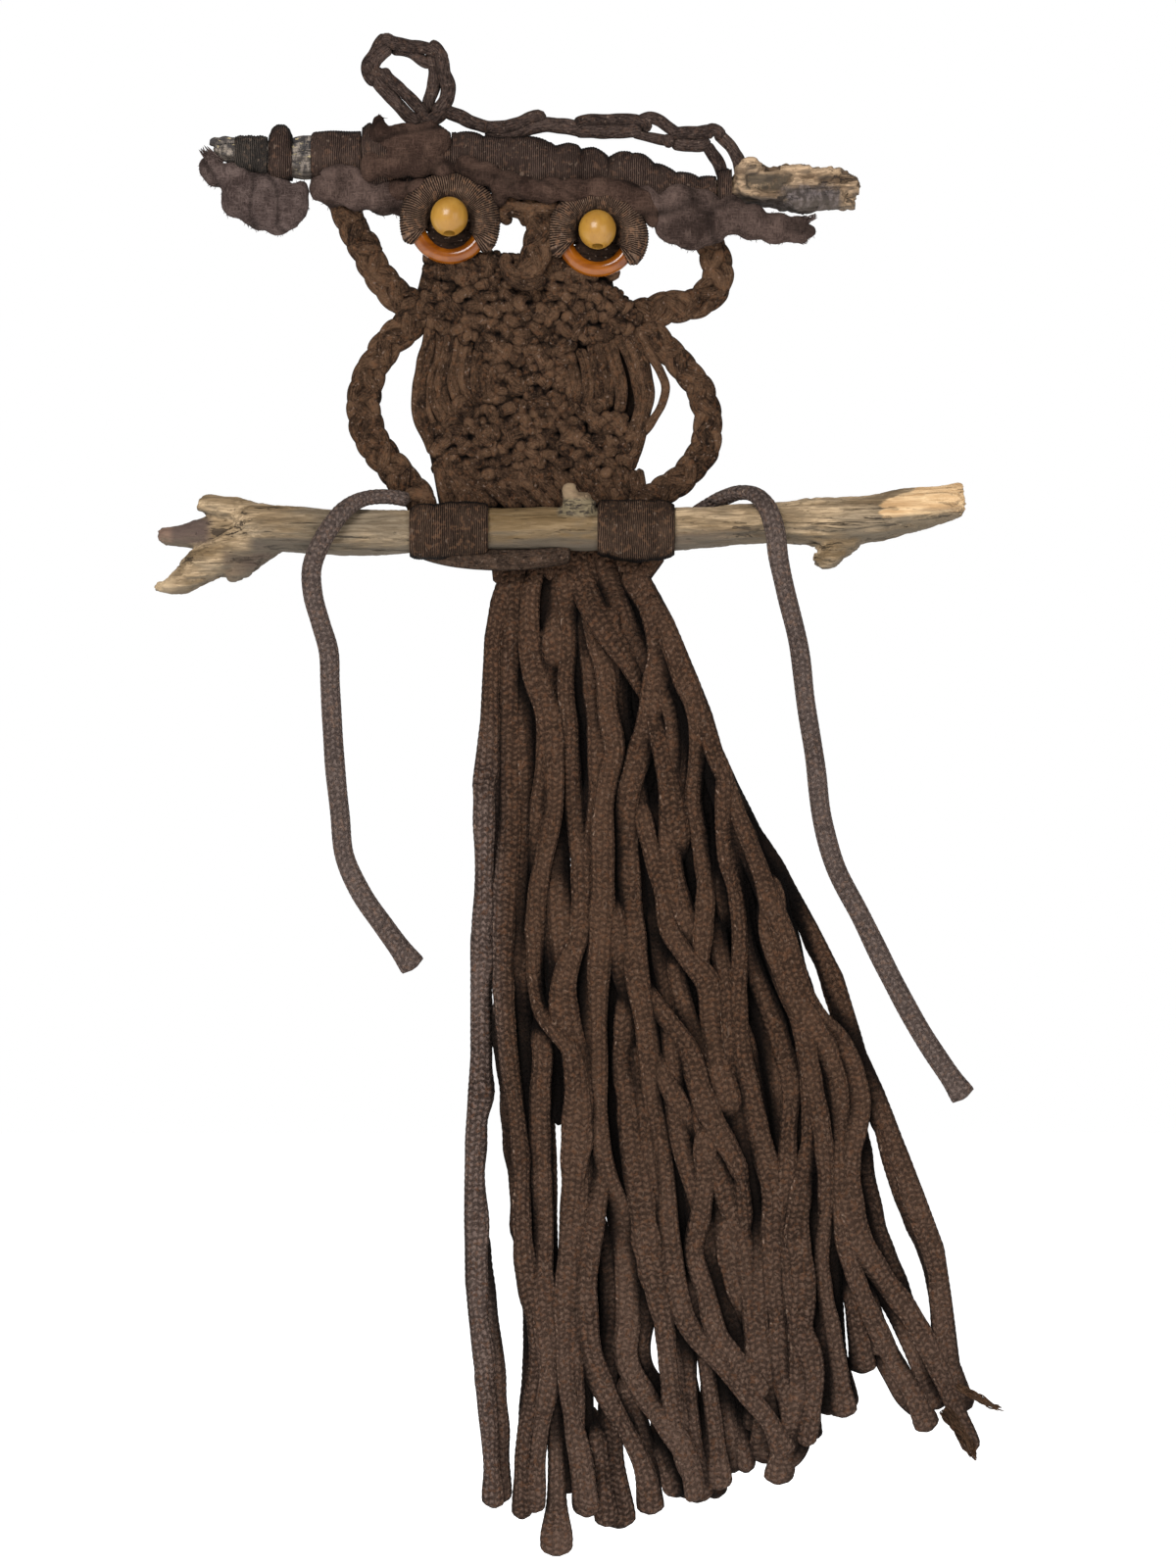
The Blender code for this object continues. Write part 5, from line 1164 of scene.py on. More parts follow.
# Eyes.
def eye(side):
    x, z = EYES[side]
    bpy.ops.object.select_all(action="DESELECT")
    bpy.ops.mesh.primitive_torus_add(major_radius=RING_RADIUS * MM, minor_radius=RING_THICK * MM,
                                     major_segments=96,
                                     minor_segments=28, location=(x * MM, EYE_Y * MM, z * MM),
                                     rotation=(math.pi / 2, 0, 0))
    ring = bpy.context.object
    ring.name = f"amber_ring_{side}"
    bpy.ops.object.transform_apply(location=True, rotation=True, scale=True)
    bpy.ops.object.mode_set(mode="EDIT")
    bpy.ops.mesh.select_all(action="SELECT")
    bpy.ops.transform.resize(value=(1, 0.92, 1), center_override=(x * MM, EYE_Y * MM, z * MM))
    bpy.ops.object.mode_set(mode="OBJECT")
    bpy.ops.object.shade_smooth()
    dress(ring, AMBER, [f"eye_ring_{side}"])

    turns = 76
    steps = turns * 5
    swing = WOUND_TO - WOUND_FROM
    at = np.linspace(WOUND_FROM, WOUND_TO, steps)
    ends = np.clip(np.minimum(np.arange(steps), np.arange(steps)[::-1]) / 14, 0, 1)
    out = RING_RADIUS + (WINDING_RADIUS - RING_RADIUS) * ends
    line = np.stack([x + out * np.cos(at), np.full(steps, EYE_Y), z + out * np.sin(at)], 1)
    size = RING_WOUND * (0.6 + 0.4 * np.sqrt(ends)) + 0.3 * wobble(line, 7, 5)
    pitch = WINDING_RADIUS * swing / turns

    def relief(length, around):
        return 0.42 * np.abs(np.sin(math.pi * (length / pitch + around))) - 0.25
    yarn = tube(line, size, size, (0, -1, 0), 26, relief=relief)
    # Painted shade on the wound ring: darker towards its inner edge, full across the middle, a little darker
    # again at its outer rim.
    from_middle = np.hypot(yarn["points"][:, 0] - x, yarn["points"][:, 2] - z)
    yarn["lit"] = np.clip((from_middle - 6.0) / 5.5, 0.18, 1.0) - 0.25 * smooth_step((from_middle - 18) / 4)
    mesh_of(f"wound_eye_{side}", [yarn], EYE_WOUND, [f"eye_winding_{side}"])
    bead(side, x, z + BEAD_RISE)
    # Cords behind the bead in the darkened yarn: painted shade in the ring's opening round the bead.
    dark = [tube(route(rows, 1.2), 2.6, 2.4, sides=8, tip=2) for rows in (
        ((x - 8, EYE_Y + 1, z - 8.6), (x, EYE_Y, z - 10), (x + 8, EYE_Y + 1, z - 8.6)),
        ((x - 10, EYE_Y + 1, z - 5), (x, EYE_Y - 1, z - 6.4), (x + 10, EYE_Y + 1, z - 5)),
        ((x - 11, EYE_Y + 2, z - 1), (x, EYE_Y + 1, z - 2), (x + 11, EYE_Y + 2, z - 1)),
        ((x - 11, EYE_Y + 2, z + 2.6), (x, EYE_Y + 1, z + 1.4), (x + 11, EYE_Y + 2, z + 2.6)),
        ((x - 10, EYE_Y + 3, z + 6.4), (x, EYE_Y + 2, z + 5.4), (x + 10, EYE_Y + 3, z + 6.4)))]
    mesh_of(f"shaded_cord_behind_bead_{side}", dark, YARN_IN_PAINTED_SHADE)


def bead(side, x, z):
    """A round wooden bead, a little longer than wide, drilled and tilted so that its bore shows."""
    bpy.ops.object.select_all(action="DESELECT")
    centre = (x * MM, BEAD_Y * MM, z * MM)
    bpy.ops.mesh.primitive_uv_sphere_add(segments=48, ring_count=28, radius=BEAD_RADIUS * MM, location=centre)
    ball = bpy.context.object
    ball.name = f"bead_{side}"
    bpy.ops.object.transform_apply(location=True)
    bpy.ops.object.mode_set(mode="EDIT")
    bpy.ops.mesh.select_all(action="SELECT")
    bpy.ops.transform.resize(value=(1, 1, 1.07), center_override=centre)
    bpy.ops.object.mode_set(mode="OBJECT")
    bpy.ops.mesh.primitive_cylinder_add(vertices=32, radius=BEAD_BORE * MM, depth=4 * BEAD_RADIUS * MM,
                                        location=centre)
    drill = bpy.context.object
    bpy.ops.object.transform_apply(location=True)
    bore = ball.modifiers.new("bore", "BOOLEAN")
    bore.object = drill
    bore.solver = "EXACT"
    bpy.ops.object.select_all(action="DESELECT")
    bpy.context.view_layer.objects.active = ball
    ball.select_set(True)
    bpy.ops.object.modifier_apply(modifier=bore.name)
    lip = ball.modifiers.new("lip", "BEVEL")
    lip.width = 0.5 * MM
    lip.segments = 3
    lip.limit_method = "ANGLE"
    lip.angle_limit = math.radians(38)
    bpy.ops.object.modifier_apply(modifier=lip.name)
    bpy.data.objects.remove(drill)
    turn = Euler((-BEAD_TILT, 0, 0)).to_matrix()
    for vertex in ball.data.vertices:
        vertex.co = turn @ (vertex.co - Vector(centre)) + Vector(centre)
    bpy.ops.object.shade_smooth_by_angle(angle=math.radians(35))
    dress(ball, BEAD, [f"eye_bead_{side}"])
    down = np.array(turn @ Vector((0, 0, -1)))
    middle = np.array((x, BEAD_Y, z))
    line = [middle + down * s for s in (-9.5, -4, 2, 6.6)]
    thread = tube(route(line, 1.0), 1.9, 1.9, sides=8, tip=1.0)
    mesh_of(f"bead_cord_{side}", [thread], YARN)


# Knotted body.
def body_depth(z):
    return float(np.interp(-z, [-row[0] for row in BODY_EDGES], [row[3] for row in BODY_EDGES]))


def body_edges(z):
    down = [-row[0] for row in BODY_EDGES]
    return [np.interp(-z, down, [row[side] for row in BODY_EDGES]) for side in (1, 2)]


def square_knot(x, y, z, size, turn, rng):
    """One square knot pulled tight: soft humps where its cords come to the front and dive back in."""
    humps = (
        ((-3.0, 2.4, 0.9), (-1.9, -0.9, 0.7), (0, -2.2, 0.2), (1.9, -0.9, -0.4), (3.0, 2.4, -0.8)),
        ((-2.2, 2.4, 3.4), (-3.1, -0.4, 2.3), (-3.5, -1.3, 0.5), (-3.1, -0.5, -1.3), (-2.2, 2.4, -2.4)),
        ((2.3, 2.4, 3.0), (3.2, -0.4, 1.9), (3.5, -1.3, 0.2), (3.1, -0.5, -1.7), (2.0, 2.4, -3.0)),
        ((-0.4, 2.4, 4.0), (0.3, -0.8, 3.1), (0.7, -0.9, 2.2), (1.0, 2.4, 1.0)),
    )
    cos, sin = math.cos(turn), math.sin(turn)
    pieces = []
    for number, hump in enumerate(humps):
        rows = np.array(hump) * size * (0.82, 1, 0.8) + rng.normal(0, 0.3, (len(hump), 3))
        spun = np.stack([rows[:, 0] * cos - rows[:, 2] * sin + x, rows[:, 1] + y,
                         rows[:, 0] * sin + rows[:, 2] * cos + z], 1)
        thick = size * rng.uniform(2.1, 2.8) * (0.85 if number == 3 else 1)
        line = route(spun, 1.1)
        thick = thick * (1 + 0.12 * wobble(line, 4, int(x * 7 + z * 13) % 900 + number))
        pieces.append(tube(line, thick, thick * 0.92, sides=9, tip=1.8, tone=rng.uniform(0, 1)))
    return pieces


def body_knots():
    rng = np.random.default_rng(11)
    knots = []
    for number, (z, first, last) in enumerate(KNOT_ROWS):
        count = max(2, int(round((last - first) / KNOT_PITCH)))
        for k in range(count + 1):
            x = first + (last - first) * (k + 0.25 * (number % 2)) / count + rng.normal(0, 0.7)
            height = z + rng.normal(0, 0.7) - 1.2 * math.sin(math.pi * k / count)
            front = body_depth(z) - 3.2 + rng.normal(0, 0.7)
            turn = rng.normal(0, 0.3) + (0.5 if (k + number) % 2 else -0.4)
            knots += square_knot(x, front, height, rng.uniform(0.9, 1.1), turn, rng)
    mesh_of("body_knots", shade_pile(knots, reach=4, slack=0.1, fall=1.05, cell=0.6), YARN,
            ["owl_body"])


def body_cords():
    """The long cords inside the knots, which close the body behind them."""
    cords = []
    levels = np.linspace(-84, -196, 24)
    for strand in range(BODY_STRANDS):
        rows = []
        for z in levels:
            left, right = body_edges(z)
            left, right = left + 4.5, right - 4.5 - 2.5 * math.exp(-((z + 141) / 15) ** 2)
            rows.append((left + (right - left) * strand / (BODY_STRANDS - 1), body_depth(z) + 1.5, z))
        cord = tube(route(rows, 3), 4.3, 2.4, sides=10, tip=2, tone=0.4)
        # Painted shade: each cord darker on its front, where the knots lie over it.
        middle = np.array([body_depth(z) + 1.5 for z in cord["points"][:, 2]])
        cord["lit"] = np.clip(0.45 + (cord["points"][:, 1] - middle) / 2.4, 0.27, 1.0)
        cords.append(cord)
    mesh_of("body_cords", cords, YARN)


def belly_strands():
    rng = np.random.default_rng(5)
    strands = []
    for number, line in enumerate(BELLY):
        x, z = np.array(in_mm(line, 1)).T
        bow = np.sin(np.linspace(0, math.pi, len(x)))
        y = np.array([body_depth(h) for h in z]) - 2.6 - 2.2 * bow + rng.normal(0, 0.3)
        points = route(np.stack([x, y, z], 1), 1.0)
        thin = number == len(BELLY) - 1
        for ply in (0,) if thin else (0, 1):
            sway = np.stack([wobble(points, 11, 500 + 2 * number + ply),
                             wobble(points, 9, 540 + 2 * number + ply), np.zeros(len(points))], 1)
            shift = (0, 0, 0) if thin else ((-1.05, 0, 0), (1.05, 0.35, 0))[ply]
            wide = 1.7 * rng.uniform(0.9, 1.12) * (1 + 0.12 * wobble(points, 7, 300 + 2 * number + ply))
            strands.append(tube(points + shift + sway * (0.5, 0.6, 0), wide, wide * 0.9, sides=12, tip=2.4,
                                tone=rng.uniform(0.1, 0.9)))
    mesh_of("belly_strands", shade_pile(strands, reach=4, slack=0.45, fall=0.85, cell=0.6), YARN)
    fans = []
    for number, line in enumerate(FANS):
        x, z = np.array(in_mm(line, 1)).T
        y = np.array([body_depth(h) for h in z]) - 3.4 - 1.4 * np.sin(np.linspace(0, math.pi, len(x)))
        y = y - np.linspace(0, 2.5, len(x))
        points = route(np.stack([x, y, z], 1), 1.0)
        fans.append(tube(points, 2.7, 2.4, sides=12, tip=2, tone=rng.uniform(0.2, 0.8)))
        fans.append(tube(points + (2.6, 0.9, 0.6), 2.0, 2.0, sides=10, tip=2, tone=rng.uniform(0.1, 0.6)))
    mesh_of("gathered_cords", shade_pile(fans, reach=4, slack=0.4, fall=1.3, cell=0.6), YARN)


def sinnet(name, rows, seed, nodes=()):
    """A band of square knots: two cords that cross over its face in turns, round a core."""
    rng = np.random.default_rng(seed)
    centre = route(rows, 0.9)
    along = unit(np.gradient(centre[:, :3], axis=0))
    across = unit(np.cross(along, FACE_ON))
    out = np.cross(across, along)
    length = np.concatenate([[0], np.cumsum(np.linalg.norm(np.diff(centre[:, :3], axis=0), axis=1))])
    parts = [tube(centre, centre[:, 3] * 0.62, centre[:, 4] * 0.7, sides=12, tip=2, tone=0.3)]
    knots = max(2, int(length[-1] / WING_PITCH))
    for k in range(knots):
        middle = (k + 0.5) * length[-1] / knots
        flip = 1 if k % 2 else -1
        for shape in (((-1.0, 0.5, 0.36), (-0.86, -0.45, 0.40), (0.0, -1.12, 0.04), (0.86, -0.5, -0.36),
                       (1.0, 0.5, -0.44)),
                      ((-0.62, 0.3, 0.62), (-1.0, -0.35, 0.3), (-1.02, -0.4, -0.22), (-0.5, -0.5, -0.52),
                       (0.0, 0.2, -0.5)),
                      ((0.55, 0.2, 0.55), (1.0, -0.35, 0.2), (0.98, -0.35, -0.36), (0.5, 0.0, -0.62))):
            rows3 = []
            for sideways, forward, down in shape:
                s = float(np.clip(middle + down * WING_PITCH * 1.25, 0, length[-1]))
                i = min(int(np.searchsorted(length, s)), len(centre) - 1)
                wide, deep = centre[i, 3] - 2.3, centre[i, 4] - 1.9
                jitter = rng.normal(0, 0.28, 3)
                rows3.append(centre[i, :3] + across[i] * sideways * flip * wide - out[i] * forward * deep
                             + jitter)
            rows3 = np.array(rows3)
            thick = rng.uniform(2.7, 3.3)
            parts.append(tube(route(rows3, 1.0), thick, thick * 0.92, sides=10, tip=1.8,
                              tone=rng.uniform(0, 1)))
    return mesh_of(name, shade_pile(parts, reach=4, slack=0.5, fall=2.2, cell=0.6), YARN, nodes)


def wings():
    for number, (side, rows) in enumerate(WINGS.items()):
        sinnet("wing_" + side, rows, 60 + number)


# Face: beak, brow knots and the cords between the eyes.
def face():
    sinnet("beak_knots", BEAK, 81, ["beak"])
    lines = (
        ((56, -10, -88), (50, -11.6, -95), (43.5, -11, -93), (40, -10, -88.6), (42, -8, -85.4)),
        ((39.4, -8, -90), (44, -12, -96.6), (51, -12.6, -98.4), (57, -10, -95)),
        ((38, -6, -62.6), (44, -9, -64.6), (51, -10.4, -65.4), (59, -10, -65.4), (63, -7, -64)),
        ((36, -5, -66), (42, -8, -66.6), (47, -9.4, -68), (50, -9, -73)),
        ((38, -4, -86.8), (45, -6, -87.4), (50, -6, -89)),
        ((58, -6, -72), (60.6, -6, -80), (60.4, -6, -88), (57, -6, -94)),
        ((62, -5, -68), (64, -4, -76), (64.6, -3, -84), (62, -3, -93)),
        ((66, -3, -90), (60, -5, -94.6), (54, -6, -97)),
    )
    cords = []
    rng = np.random.default_rng(21)
    for rows in lines:
        thick = rng.uniform(2.2, 2.9)
        cords.append(tube(route(rows, 1.0), thick, thick * 0.9, sides=12, tip=2.2,
                          tone=rng.uniform(0.2, 0.8)))
    for x, z in ((38, -60.5), (43.5, -62), (35.5, -66.5), (58, -62.5), (61.5, -66), (41.5, -67),
                 (70, -95), (14, -92.4), (22, -93.6), (30, -91.4), (36, -88.6)):
        cords += square_knot(x, -5.5, z, 1.0, rng.normal(0, 0.6), rng)
    mesh_of("face_cords", shade_pile(cords, reach=4, slack=0.4, fall=1.8, cell=0.6), YARN)


# Hanger.
def hanger():
    for name, table, node in (("loop_strands", LOOP_STRANDS, "hanger_loop"),
                              ("chain_strands", CHAIN_STRANDS, "hanger_chain")):
        strands = []
        for number, (y, size, rows) in enumerate(table):
            line = route([(x, y, z) for x, z in rows], 0.9)
            if node == "hanger_loop":
                line[:, 0] -= 0.045 * (line[:, 0] + 12)
                leftward = np.clip((4 - line[:, 0]) / 10, 0, 1)
                low = np.clip((-6 - line[:, 2]) / 8, 0, 1)
                line[:, 2] += 1.2 * leftward * low
            else:
                line[:, 2] += 0.4
            dive = np.exp(-(np.minimum(np.arange(len(line)), np.arange(len(line))[::-1]) / 3.0) ** 2)
            line[:, 1] += dive * 1.4
            thick = size * (1 + 0.09 * wobble(line, 7, 44 + number))

            def relief(length, around, lay=8.0 + number % 3, plies=3):
                return 0.22 * np.abs(np.sin(math.pi * (plies * around + length / lay))) - 0.14
            strands.append(tube(line, thick, thick * 0.94, sides=18, tip=2.6, relief=relief,
                                tone=0.3 + 0.4 * (number % 2)))
        mesh_of(name, shade_pile(strands, reach=4, slack=0.9, fall=1.7, cell=0.6), HANGER_YARN,
                [node])


# Band of cord under the perch.
def perch_band():
    rows = ((-2, 9, -206.4), (5, 5, -210), (14, 1.4, -212.8), (26, -1, -214.8), (38, -2.4, -215.6),
            (50, -3.2, -215.4), (60, -3, -214.4), (68, -1, -213))
    line = route(rows, 1.2)
    strands = []
    for number, (up, forward, size) in enumerate(((2.2, 0.6, 2.5), (0.4, -1.8, 2.7), (-2.4, -0.8, 2.6),
                                                  (0.6, 1.8, 2.6), (-2.4, 2, 2.4), (-3.2, 0.6, 2.2))):
        turn = np.linspace(0, 1.1, len(line))[:, None]
        shift = np.concatenate([np.zeros_like(turn), forward * np.cos(turn) - up * np.sin(turn) * 0.5,
                                up * np.cos(turn) + forward * np.sin(turn) * 0.5], axis=1)
        strands.append(tube(line + shift, size, size, sides=14, tip=2.2, tone=0.25 + 0.13 * number))
    mesh_of("band_strands", shade_pile(strands, reach=4, slack=0.7, fall=1.6, cell=0.6), FOOT_YARN,
            ["perch_band"])


# Brushed-out yarn.
def surface_of(obj):
    """The points of a mesh in millimetres, and which way its skin looks at each."""
    read = {}
    for key in ("co", "normal"):
        read[key] = np.empty(len(obj.data.vertices) * 3)
        obj.data.vertices.foreach_get(key, read[key])
    return read["co"].reshape(-1, 3) / MM, read["normal"].reshape(-1, 3)


def felt_mass(name, lumps, finish, slot, nodes, seed, cell=1.0, hairs=900, hair_length=1.7, comb=(0, 0, -1)):
    """Soft lumps run together and ruffled, with fine hairs standing off them."""
    soft = bmesh.new()
    for x, y, z, wide, deep, high in lumps:
        made = bmesh.ops.create_icosphere(soft, subdivisions=3, radius=1.0)["verts"]
        for vertex in made:
            vertex.co = Vector((x + vertex.co.x * wide, y + vertex.co.y * deep, z + vertex.co.z * high)) * MM
    mesh = bpy.data.meshes.new(name)
    soft.to_mesh(mesh)
    soft.free()
    obj = bpy.data.objects.new(name, mesh)
    bpy.context.scene.collection.objects.link(obj)
    bpy.ops.object.select_all(action="DESELECT")
    bpy.context.view_layer.objects.active = obj
    obj.select_set(True)
    join = obj.modifiers.new("join", "REMESH")
    join.mode = "VOXEL"
    join.voxel_size = cell * MM
    bpy.ops.object.modifier_apply(modifier=join.name)
    relax = obj.modifiers.new("relax", "SMOOTH")
    relax.factor = 0.6
    relax.iterations = 4
    bpy.ops.object.modifier_apply(modifier=relax.name)
    points, normals = surface_of(obj)
    wide_creases = np.exp(-((wobble(points, 15, seed) / 0.22) ** 2))
    fine_creases = np.exp(-((wobble(points, 8, seed + 1) / 0.15) ** 2))
    creases = wide_creases + 0.3 * fine_creases
    folds = 0.6 * wobble(points, 9, seed + 3) + 0.12 * wobble(points, 1.8, seed + 2) - 0.75 * creases
    points = points + normals * folds[:, None]
    # Painted shade in the creases.
    lit = obj.data.attributes.new("lit", "FLOAT", "POINT")
    lit.data.foreach_set("value", np.clip(1.05 - 0.5 * creases, 0, 1).astype(np.float32))
    obj.data.vertices.foreach_set("co", (points * MM).reshape(-1))
    obj.data.shade_smooth()
    obj.data.update()
    dress(obj, finish, nodes)
    if hairs:
        fuzz(name + "_hairs", points, normals, finish, slot, seed + 5, hairs, hair_length, comb)
    return obj


def fuzz(name, points, normals, finish, slot, seed, count, length, comb):
    """Fine hairs combed roughly one way over a soft surface."""
    rng = np.random.default_rng(seed)
    comb = np.asarray(comb, float)
    parts = []
    for k in rng.integers(0, len(points), count):
        lie = unit(comb + 0.55 * rng.normal(size=3))
        lie = unit(lie - normals[k] * (lie @ normals[k]) * 0.85 + normals[k] * rng.uniform(0.05, 0.5))
        reach = length * rng.uniform(0.5, 1.3)
        t = np.linspace(0, 1, 4)[:, None]
        line = points[k] - normals[k] * 0.3 + lie * reach * t + rng.normal(0, 0.18, 3) * reach * t**2
        parts.append(tube(line, 0.13, 0.13, facing=tuple(normals[k] + 0.01), sides=3, tip=reach * 0.5,
                          tone=rng.uniform(0.2, 0.9)))
    return mesh_of(name, parts, finish)


EAR_LEFT = ((-87, 1, -46.4, 5.4, 4.6, 6), (-83, 0, -50, 6.4, 5, 6), (-75.6, -2, -48.4, 8, 4.6, 4.4),
            (-75, -1.5, -60, 8, 5.5, 9.4),
            (-66, -2, -64, 10, 6, 10.6), (-57, -2, -66, 9.6, 6, 10.4), (-51.6, -2, -62.6, 7.4, 5.6, 8.6),
            (-64, -1.5, -53, 12, 5, 5),
            (-48, -1, -57, 4, 4, 5))
BROW_LEFT = ((-39.6, -2, -56, 4.4, 5, 6), (-33, -3, -56.6, 8, 6, 9), (-23, -5, -58, 9, 5.6, 9.4),
             (-12, -5, -61, 9, 6, 8),
             (-4.6, -4.6, -63.6, 5, 5, 5.6), (-30, -8, -50, 9, 4, 4))
EAR_RIGHT = ((100, -10.6, -61, 6, 3.6, 5.6), (106, -9, -67, 7, 5, 6.6), (112, -8, -73, 8, 5.4, 7.6),
             (120, -7.4, -76.4, 8, 5.6, 7),
             (115, -9.4, -62, 9, 4, 7), (124.6, -9, -64.6, 8, 4.4, 7), (129, -7, -73.4, 7, 6, 8),
             (137, -6.6, -67.6, 7, 6, 9.4),
             (146, -6, -71, 8, 6, 8.4), (156, -5, -73.4, 8.6, 5.6, 7.4), (164.6, -4.4, -75, 7, 5, 5),
             (170.6, -4, -74.6, 3, 3.2, 2.6),
             (166, -4, -69.8, 4, 3.6, 2.2))
FACE_FELT = ((-14, -8, -33, 5, 5, 8), (-4, -9.5, -36, 10, 4.5, 8), (8, -9.6, -37, 10, 4.4, 8.6),
             (-17, -8, -47, 5, 6, 8),
             (-8, -10, -47.5, 8, 5, 6), (3, -10.4, -47, 8, 5, 5.4), (14, -9.6, -48.6, 6, 5, 5))
BROW_ROLLS = ((24, -11, -48, 6.5, 5, 5.6), (31, -11.6, -51, 7.5, 5.6, 6), (40, -12, -55, 8, 6, 6),
              (49, -12, -57.4, 8, 6, 5.8),
              (59, -12, -58, 8, 6, 6), (69, -11.6, -58.6, 8, 5.8, 6), (80, -11.2, -57.4, 8, 5.6, 5.6),
              (90, -11, -58.4, 8, 5.6, 6),
              (98, -10.4, -62, 7, 5.4, 6.6), (103.5, -9.4, -67.5, 5, 5, 6), (37, -8.4, -62, 5, 4.4, 4),
              (-6, -6, -58, 6, 5, 6),
              (2, -9, -56.4, 6, 4.6, 4.6))


TUFT_TIPS = (
    (2.4, ((-82, 0, -46), (-86, 0, -43), (-89, 0, -40.6), (-91.4, 0, -37.6))),
    (2.0, ((-84, 0, -48), (-88, 0, -46.4), (-92, 0, -45.4))),
    (2.2, ((163, -4, -72), (168, -3, -71), (172, -2, -69), (175, -2, -67.4))),
    (2.0, ((160, -4, -77), (166, -3, -78), (171, -2, -79.4))),
)


def soft_parts():
    felt_mass("tuft_ear_left", EAR_LEFT, TUFT_FELT, "raw_fibre", ["ear_tuft_left"], 101, hairs=700,
              comb=(-0.3, -0.1, -1))
    felt_mass("tuft_brow_left", BROW_LEFT, RIGHT_FELT, "raw_fibre", ["brow_tuft_left"], 111, hairs=350,
              comb=(-0.4, 0, -1))
    felt_mass("tuft_ear_right", EAR_RIGHT, RIGHT_FELT, "raw_fibre", ["ear_tuft_right"], 121, hairs=900,
              comb=(0.5, -0.1, -1))
    felt_mass("felt_over_brow", FACE_FELT, FELT, "brown_cord", (), 131, hairs=350, comb=(1, 0, -0.6))
    felt_mass("felt_between_eyes", BROW_ROLLS, FELT, "brown_cord", (), 141, hairs=400, comb=(1, 0, -0.5))
    wisps = []
    for number, (size, rows) in enumerate(TUFT_TIPS):
        wisps += frayed_bundle(rows, size, 51 + number, 30)
    mesh_of("tuft_wisps", wisps, TUFT_FELT)


# Driftwood.
def drawn_out(rows, upright=True):
    """A round bar drawn out section by section through the rows, closed at both ends."""
    rows = np.array(rows, float) * MM
    way = Vector(rows[-1, :3] - rows[0, :3]).normalized()
    turn = way.to_track_quat("Z", "Y").to_euler()
    bpy.ops.object.select_all(action="DESELECT")
    bpy.ops.mesh.primitive_circle_add(vertices=STICK_SIDES, radius=MM, fill_type="NGON", location=rows[0, :3],
                                      rotation=turn)
    bar = bpy.context.object
    bpy.ops.object.transform_apply(location=True, rotation=True)
    bpy.ops.object.mode_set(mode="EDIT")
    bpy.ops.mesh.select_all(action="SELECT")
    size = Vector((1, 1, 1))
    for number, (x, y, z, one, other) in enumerate(rows):
        if number:
            step = rows[number, :3] - rows[number - 1, :3]
            bpy.ops.mesh.extrude_region_move(TRANSFORM_OT_translate={"value": tuple(step)})
        wish = Vector((1, one / MM, other / MM)) if upright else Vector((one / MM, other / MM, one / MM))
        bpy.ops.transform.resize(value=tuple(w / s for w, s in zip(wish, size)), center_override=(x, y, z))
        size = wish
    bpy.ops.mesh.select_all(action="SELECT")
    bpy.ops.mesh.normals_make_consistent(inside=False)
    bpy.ops.object.mode_set(mode="OBJECT")
    return bar


def wood_lump(x, y, z, wide, deep, high):
    """A swelling on a stick, from a ball pulled to its size."""
    bpy.ops.object.select_all(action="DESELECT")
    bpy.ops.mesh.primitive_ico_sphere_add(subdivisions=3, radius=MM, location=(x * MM, y * MM, z * MM))
    lump = bpy.context.object
    bpy.ops.object.transform_apply(location=True)
    bpy.ops.object.mode_set(mode="EDIT")
    bpy.ops.mesh.select_all(action="SELECT")
    bpy.ops.transform.resize(value=(wide, deep, high), center_override=(x * MM, y * MM, z * MM))
    bpy.ops.object.mode_set(mode="OBJECT")
    return lump


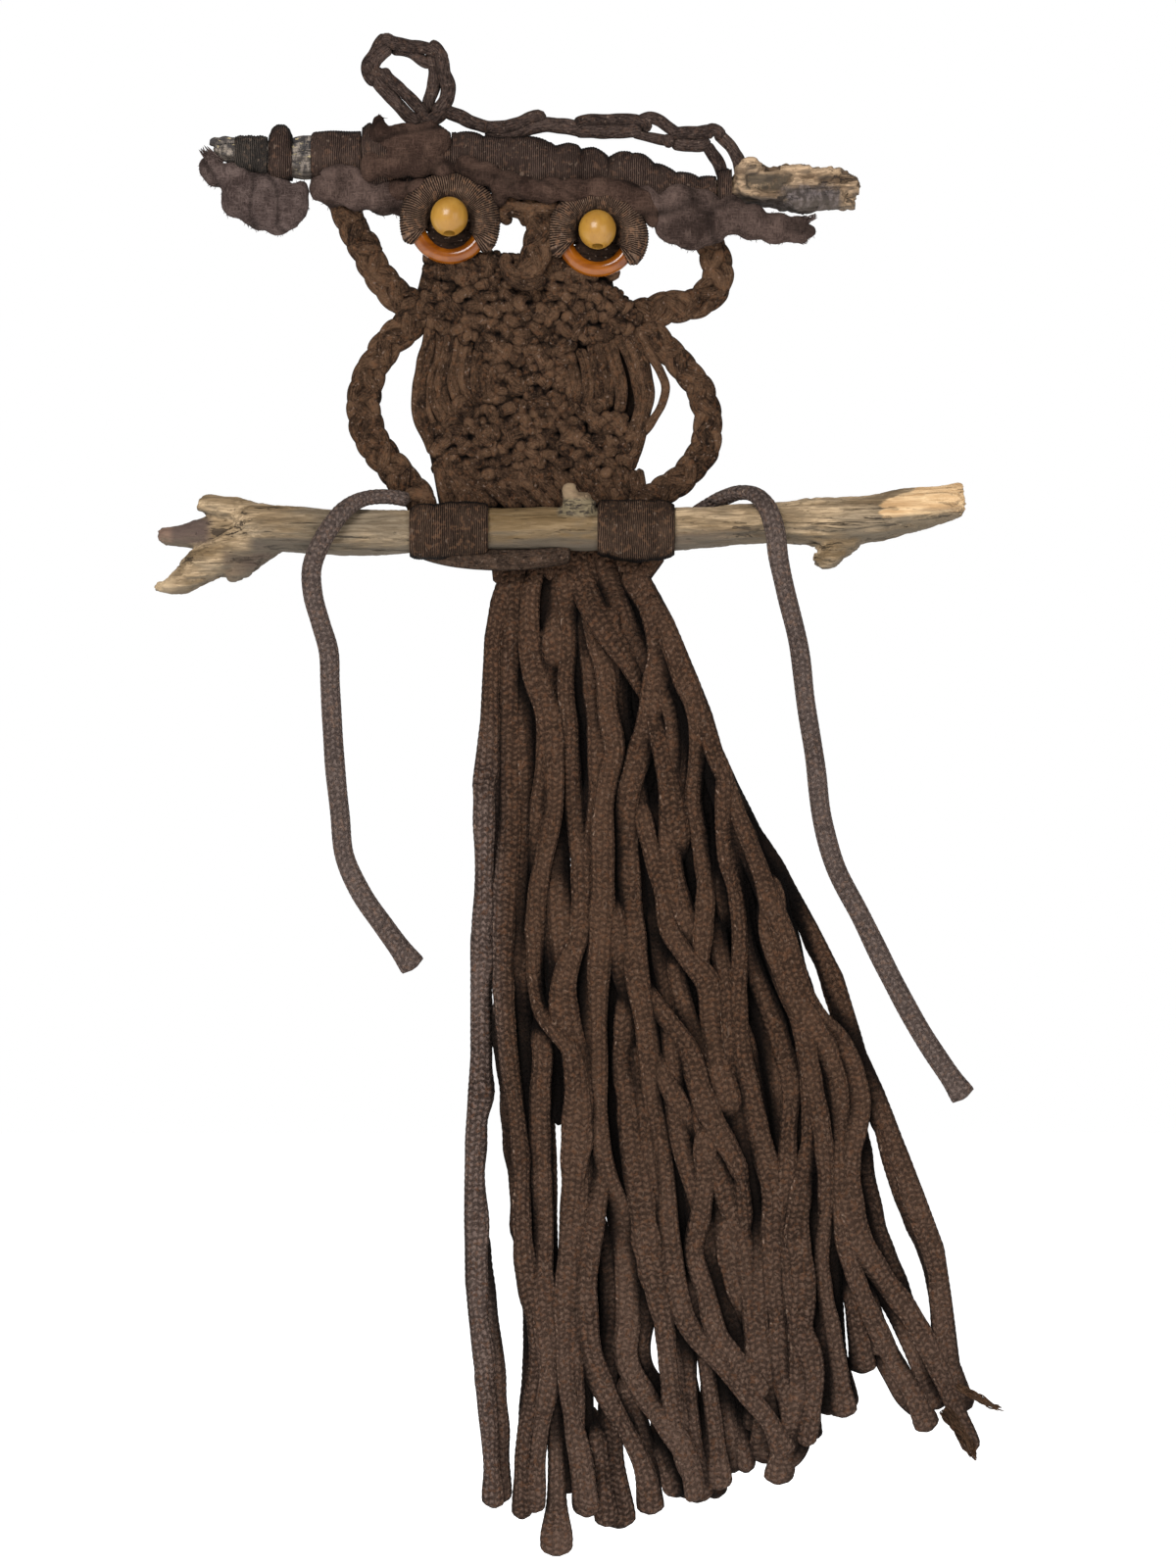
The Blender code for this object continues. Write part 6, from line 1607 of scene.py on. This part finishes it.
def grown_together(name, bars):
    """The bars become one closed skin, ready for its grain."""
    bpy.ops.object.select_all(action="DESELECT")
    for bar in bars:
        bar.select_set(True)
    bpy.context.view_layer.objects.active = bars[0]
    bpy.ops.object.join()
    stick = bpy.context.object
    stick.name = name
    skin = stick.modifiers.new("skin", "REMESH")
    skin.mode = "VOXEL"
    skin.voxel_size = WOOD_CELL * MM
    bpy.ops.object.modifier_apply(modifier=skin.name)
    relax = stick.modifiers.new("relax", "SMOOTH")
    relax.factor = 0.5
    relax.iterations = 3
    bpy.ops.object.modifier_apply(modifier=relax.name)
    return stick


def carve_grain(stick, gnarl, grain, broken, knotty=999.0):
    """Long ridges and cracks along x, slow gnarls, and splintered ends where broken says."""
    points, normals = surface_of(stick)
    for number, (p, normal) in enumerate(zip(points.copy(), normals)):
        x, y, z = p
        slow = noise.noise((x * 0.06, y * 0.1 + 3, z * 0.1)) * gnarl
        if x > knotty:
            slow += (noise.noise((x * 0.16, y * 0.26, z * 0.26 + 5)) * 1.5 + noise.noise((x * 0.4, y * 0.5,
                                                                                          z * 0.6)) * 0.9) \
                * min(1.0, (x - knotty) / 4)
        fine = noise.noise((x * 0.045, y * 0.55, z * 0.55 + 7))
        crack = noise.noise((x * 0.03 + 5, y * 0.4, z * 0.4))
        cut = -0.9 * max(0.0, 0.09 - abs(crack)) / 0.09
        pit = noise.noise((x * 0.5, y * 0.5, z * 0.5 + 11)) * 0.16
        rough = sum(max(0.0, 1 - abs(x - end) / reach) for end, reach in broken)
        splinter = rough * noise.noise((x * 0.2, y * 0.8, z * 0.8 + 2)) * 1.6
        points[number] = p + normal * (slow + grain * (fine * 1.3 + cut) + pit + splinter)
    stick.data.vertices.foreach_set("co", (points * MM).reshape(-1))
    stick.data.shade_smooth()
    stick.data.update()


def sticks():
    perch = grown_together("driftwood_perch", [drawn_out(PERCH)] + [drawn_out(rows,
                                                                              False) for rows in SHOOTS])
    carve_grain(perch, 0.9, 0.6, ((-113, 10), (237, 5), (172, 6)))
    dress(perch, PERCH_WOOD, ["perch"])
    branch = grown_together("driftwood_branch", [drawn_out(TOP_BRANCH)]
                            + [wood_lump(*lump) for lump in BRANCH_LUMPS])
    carve_grain(branch, 1.3, 0.7, ((190, 5), (-85, 5)), knotty=139)
    dress(branch, BRANCH_WOOD, ["top_branch"])


camera()
loose_cord("loose_cord_left")
loose_cord("loose_cord_right")
studio()
tail()
sticks()
windings()
eye("left")
eye("right")
body_cords()
body_knots()
belly_strands()
wings()
face()
hanger()
perch_band()
soft_parts()
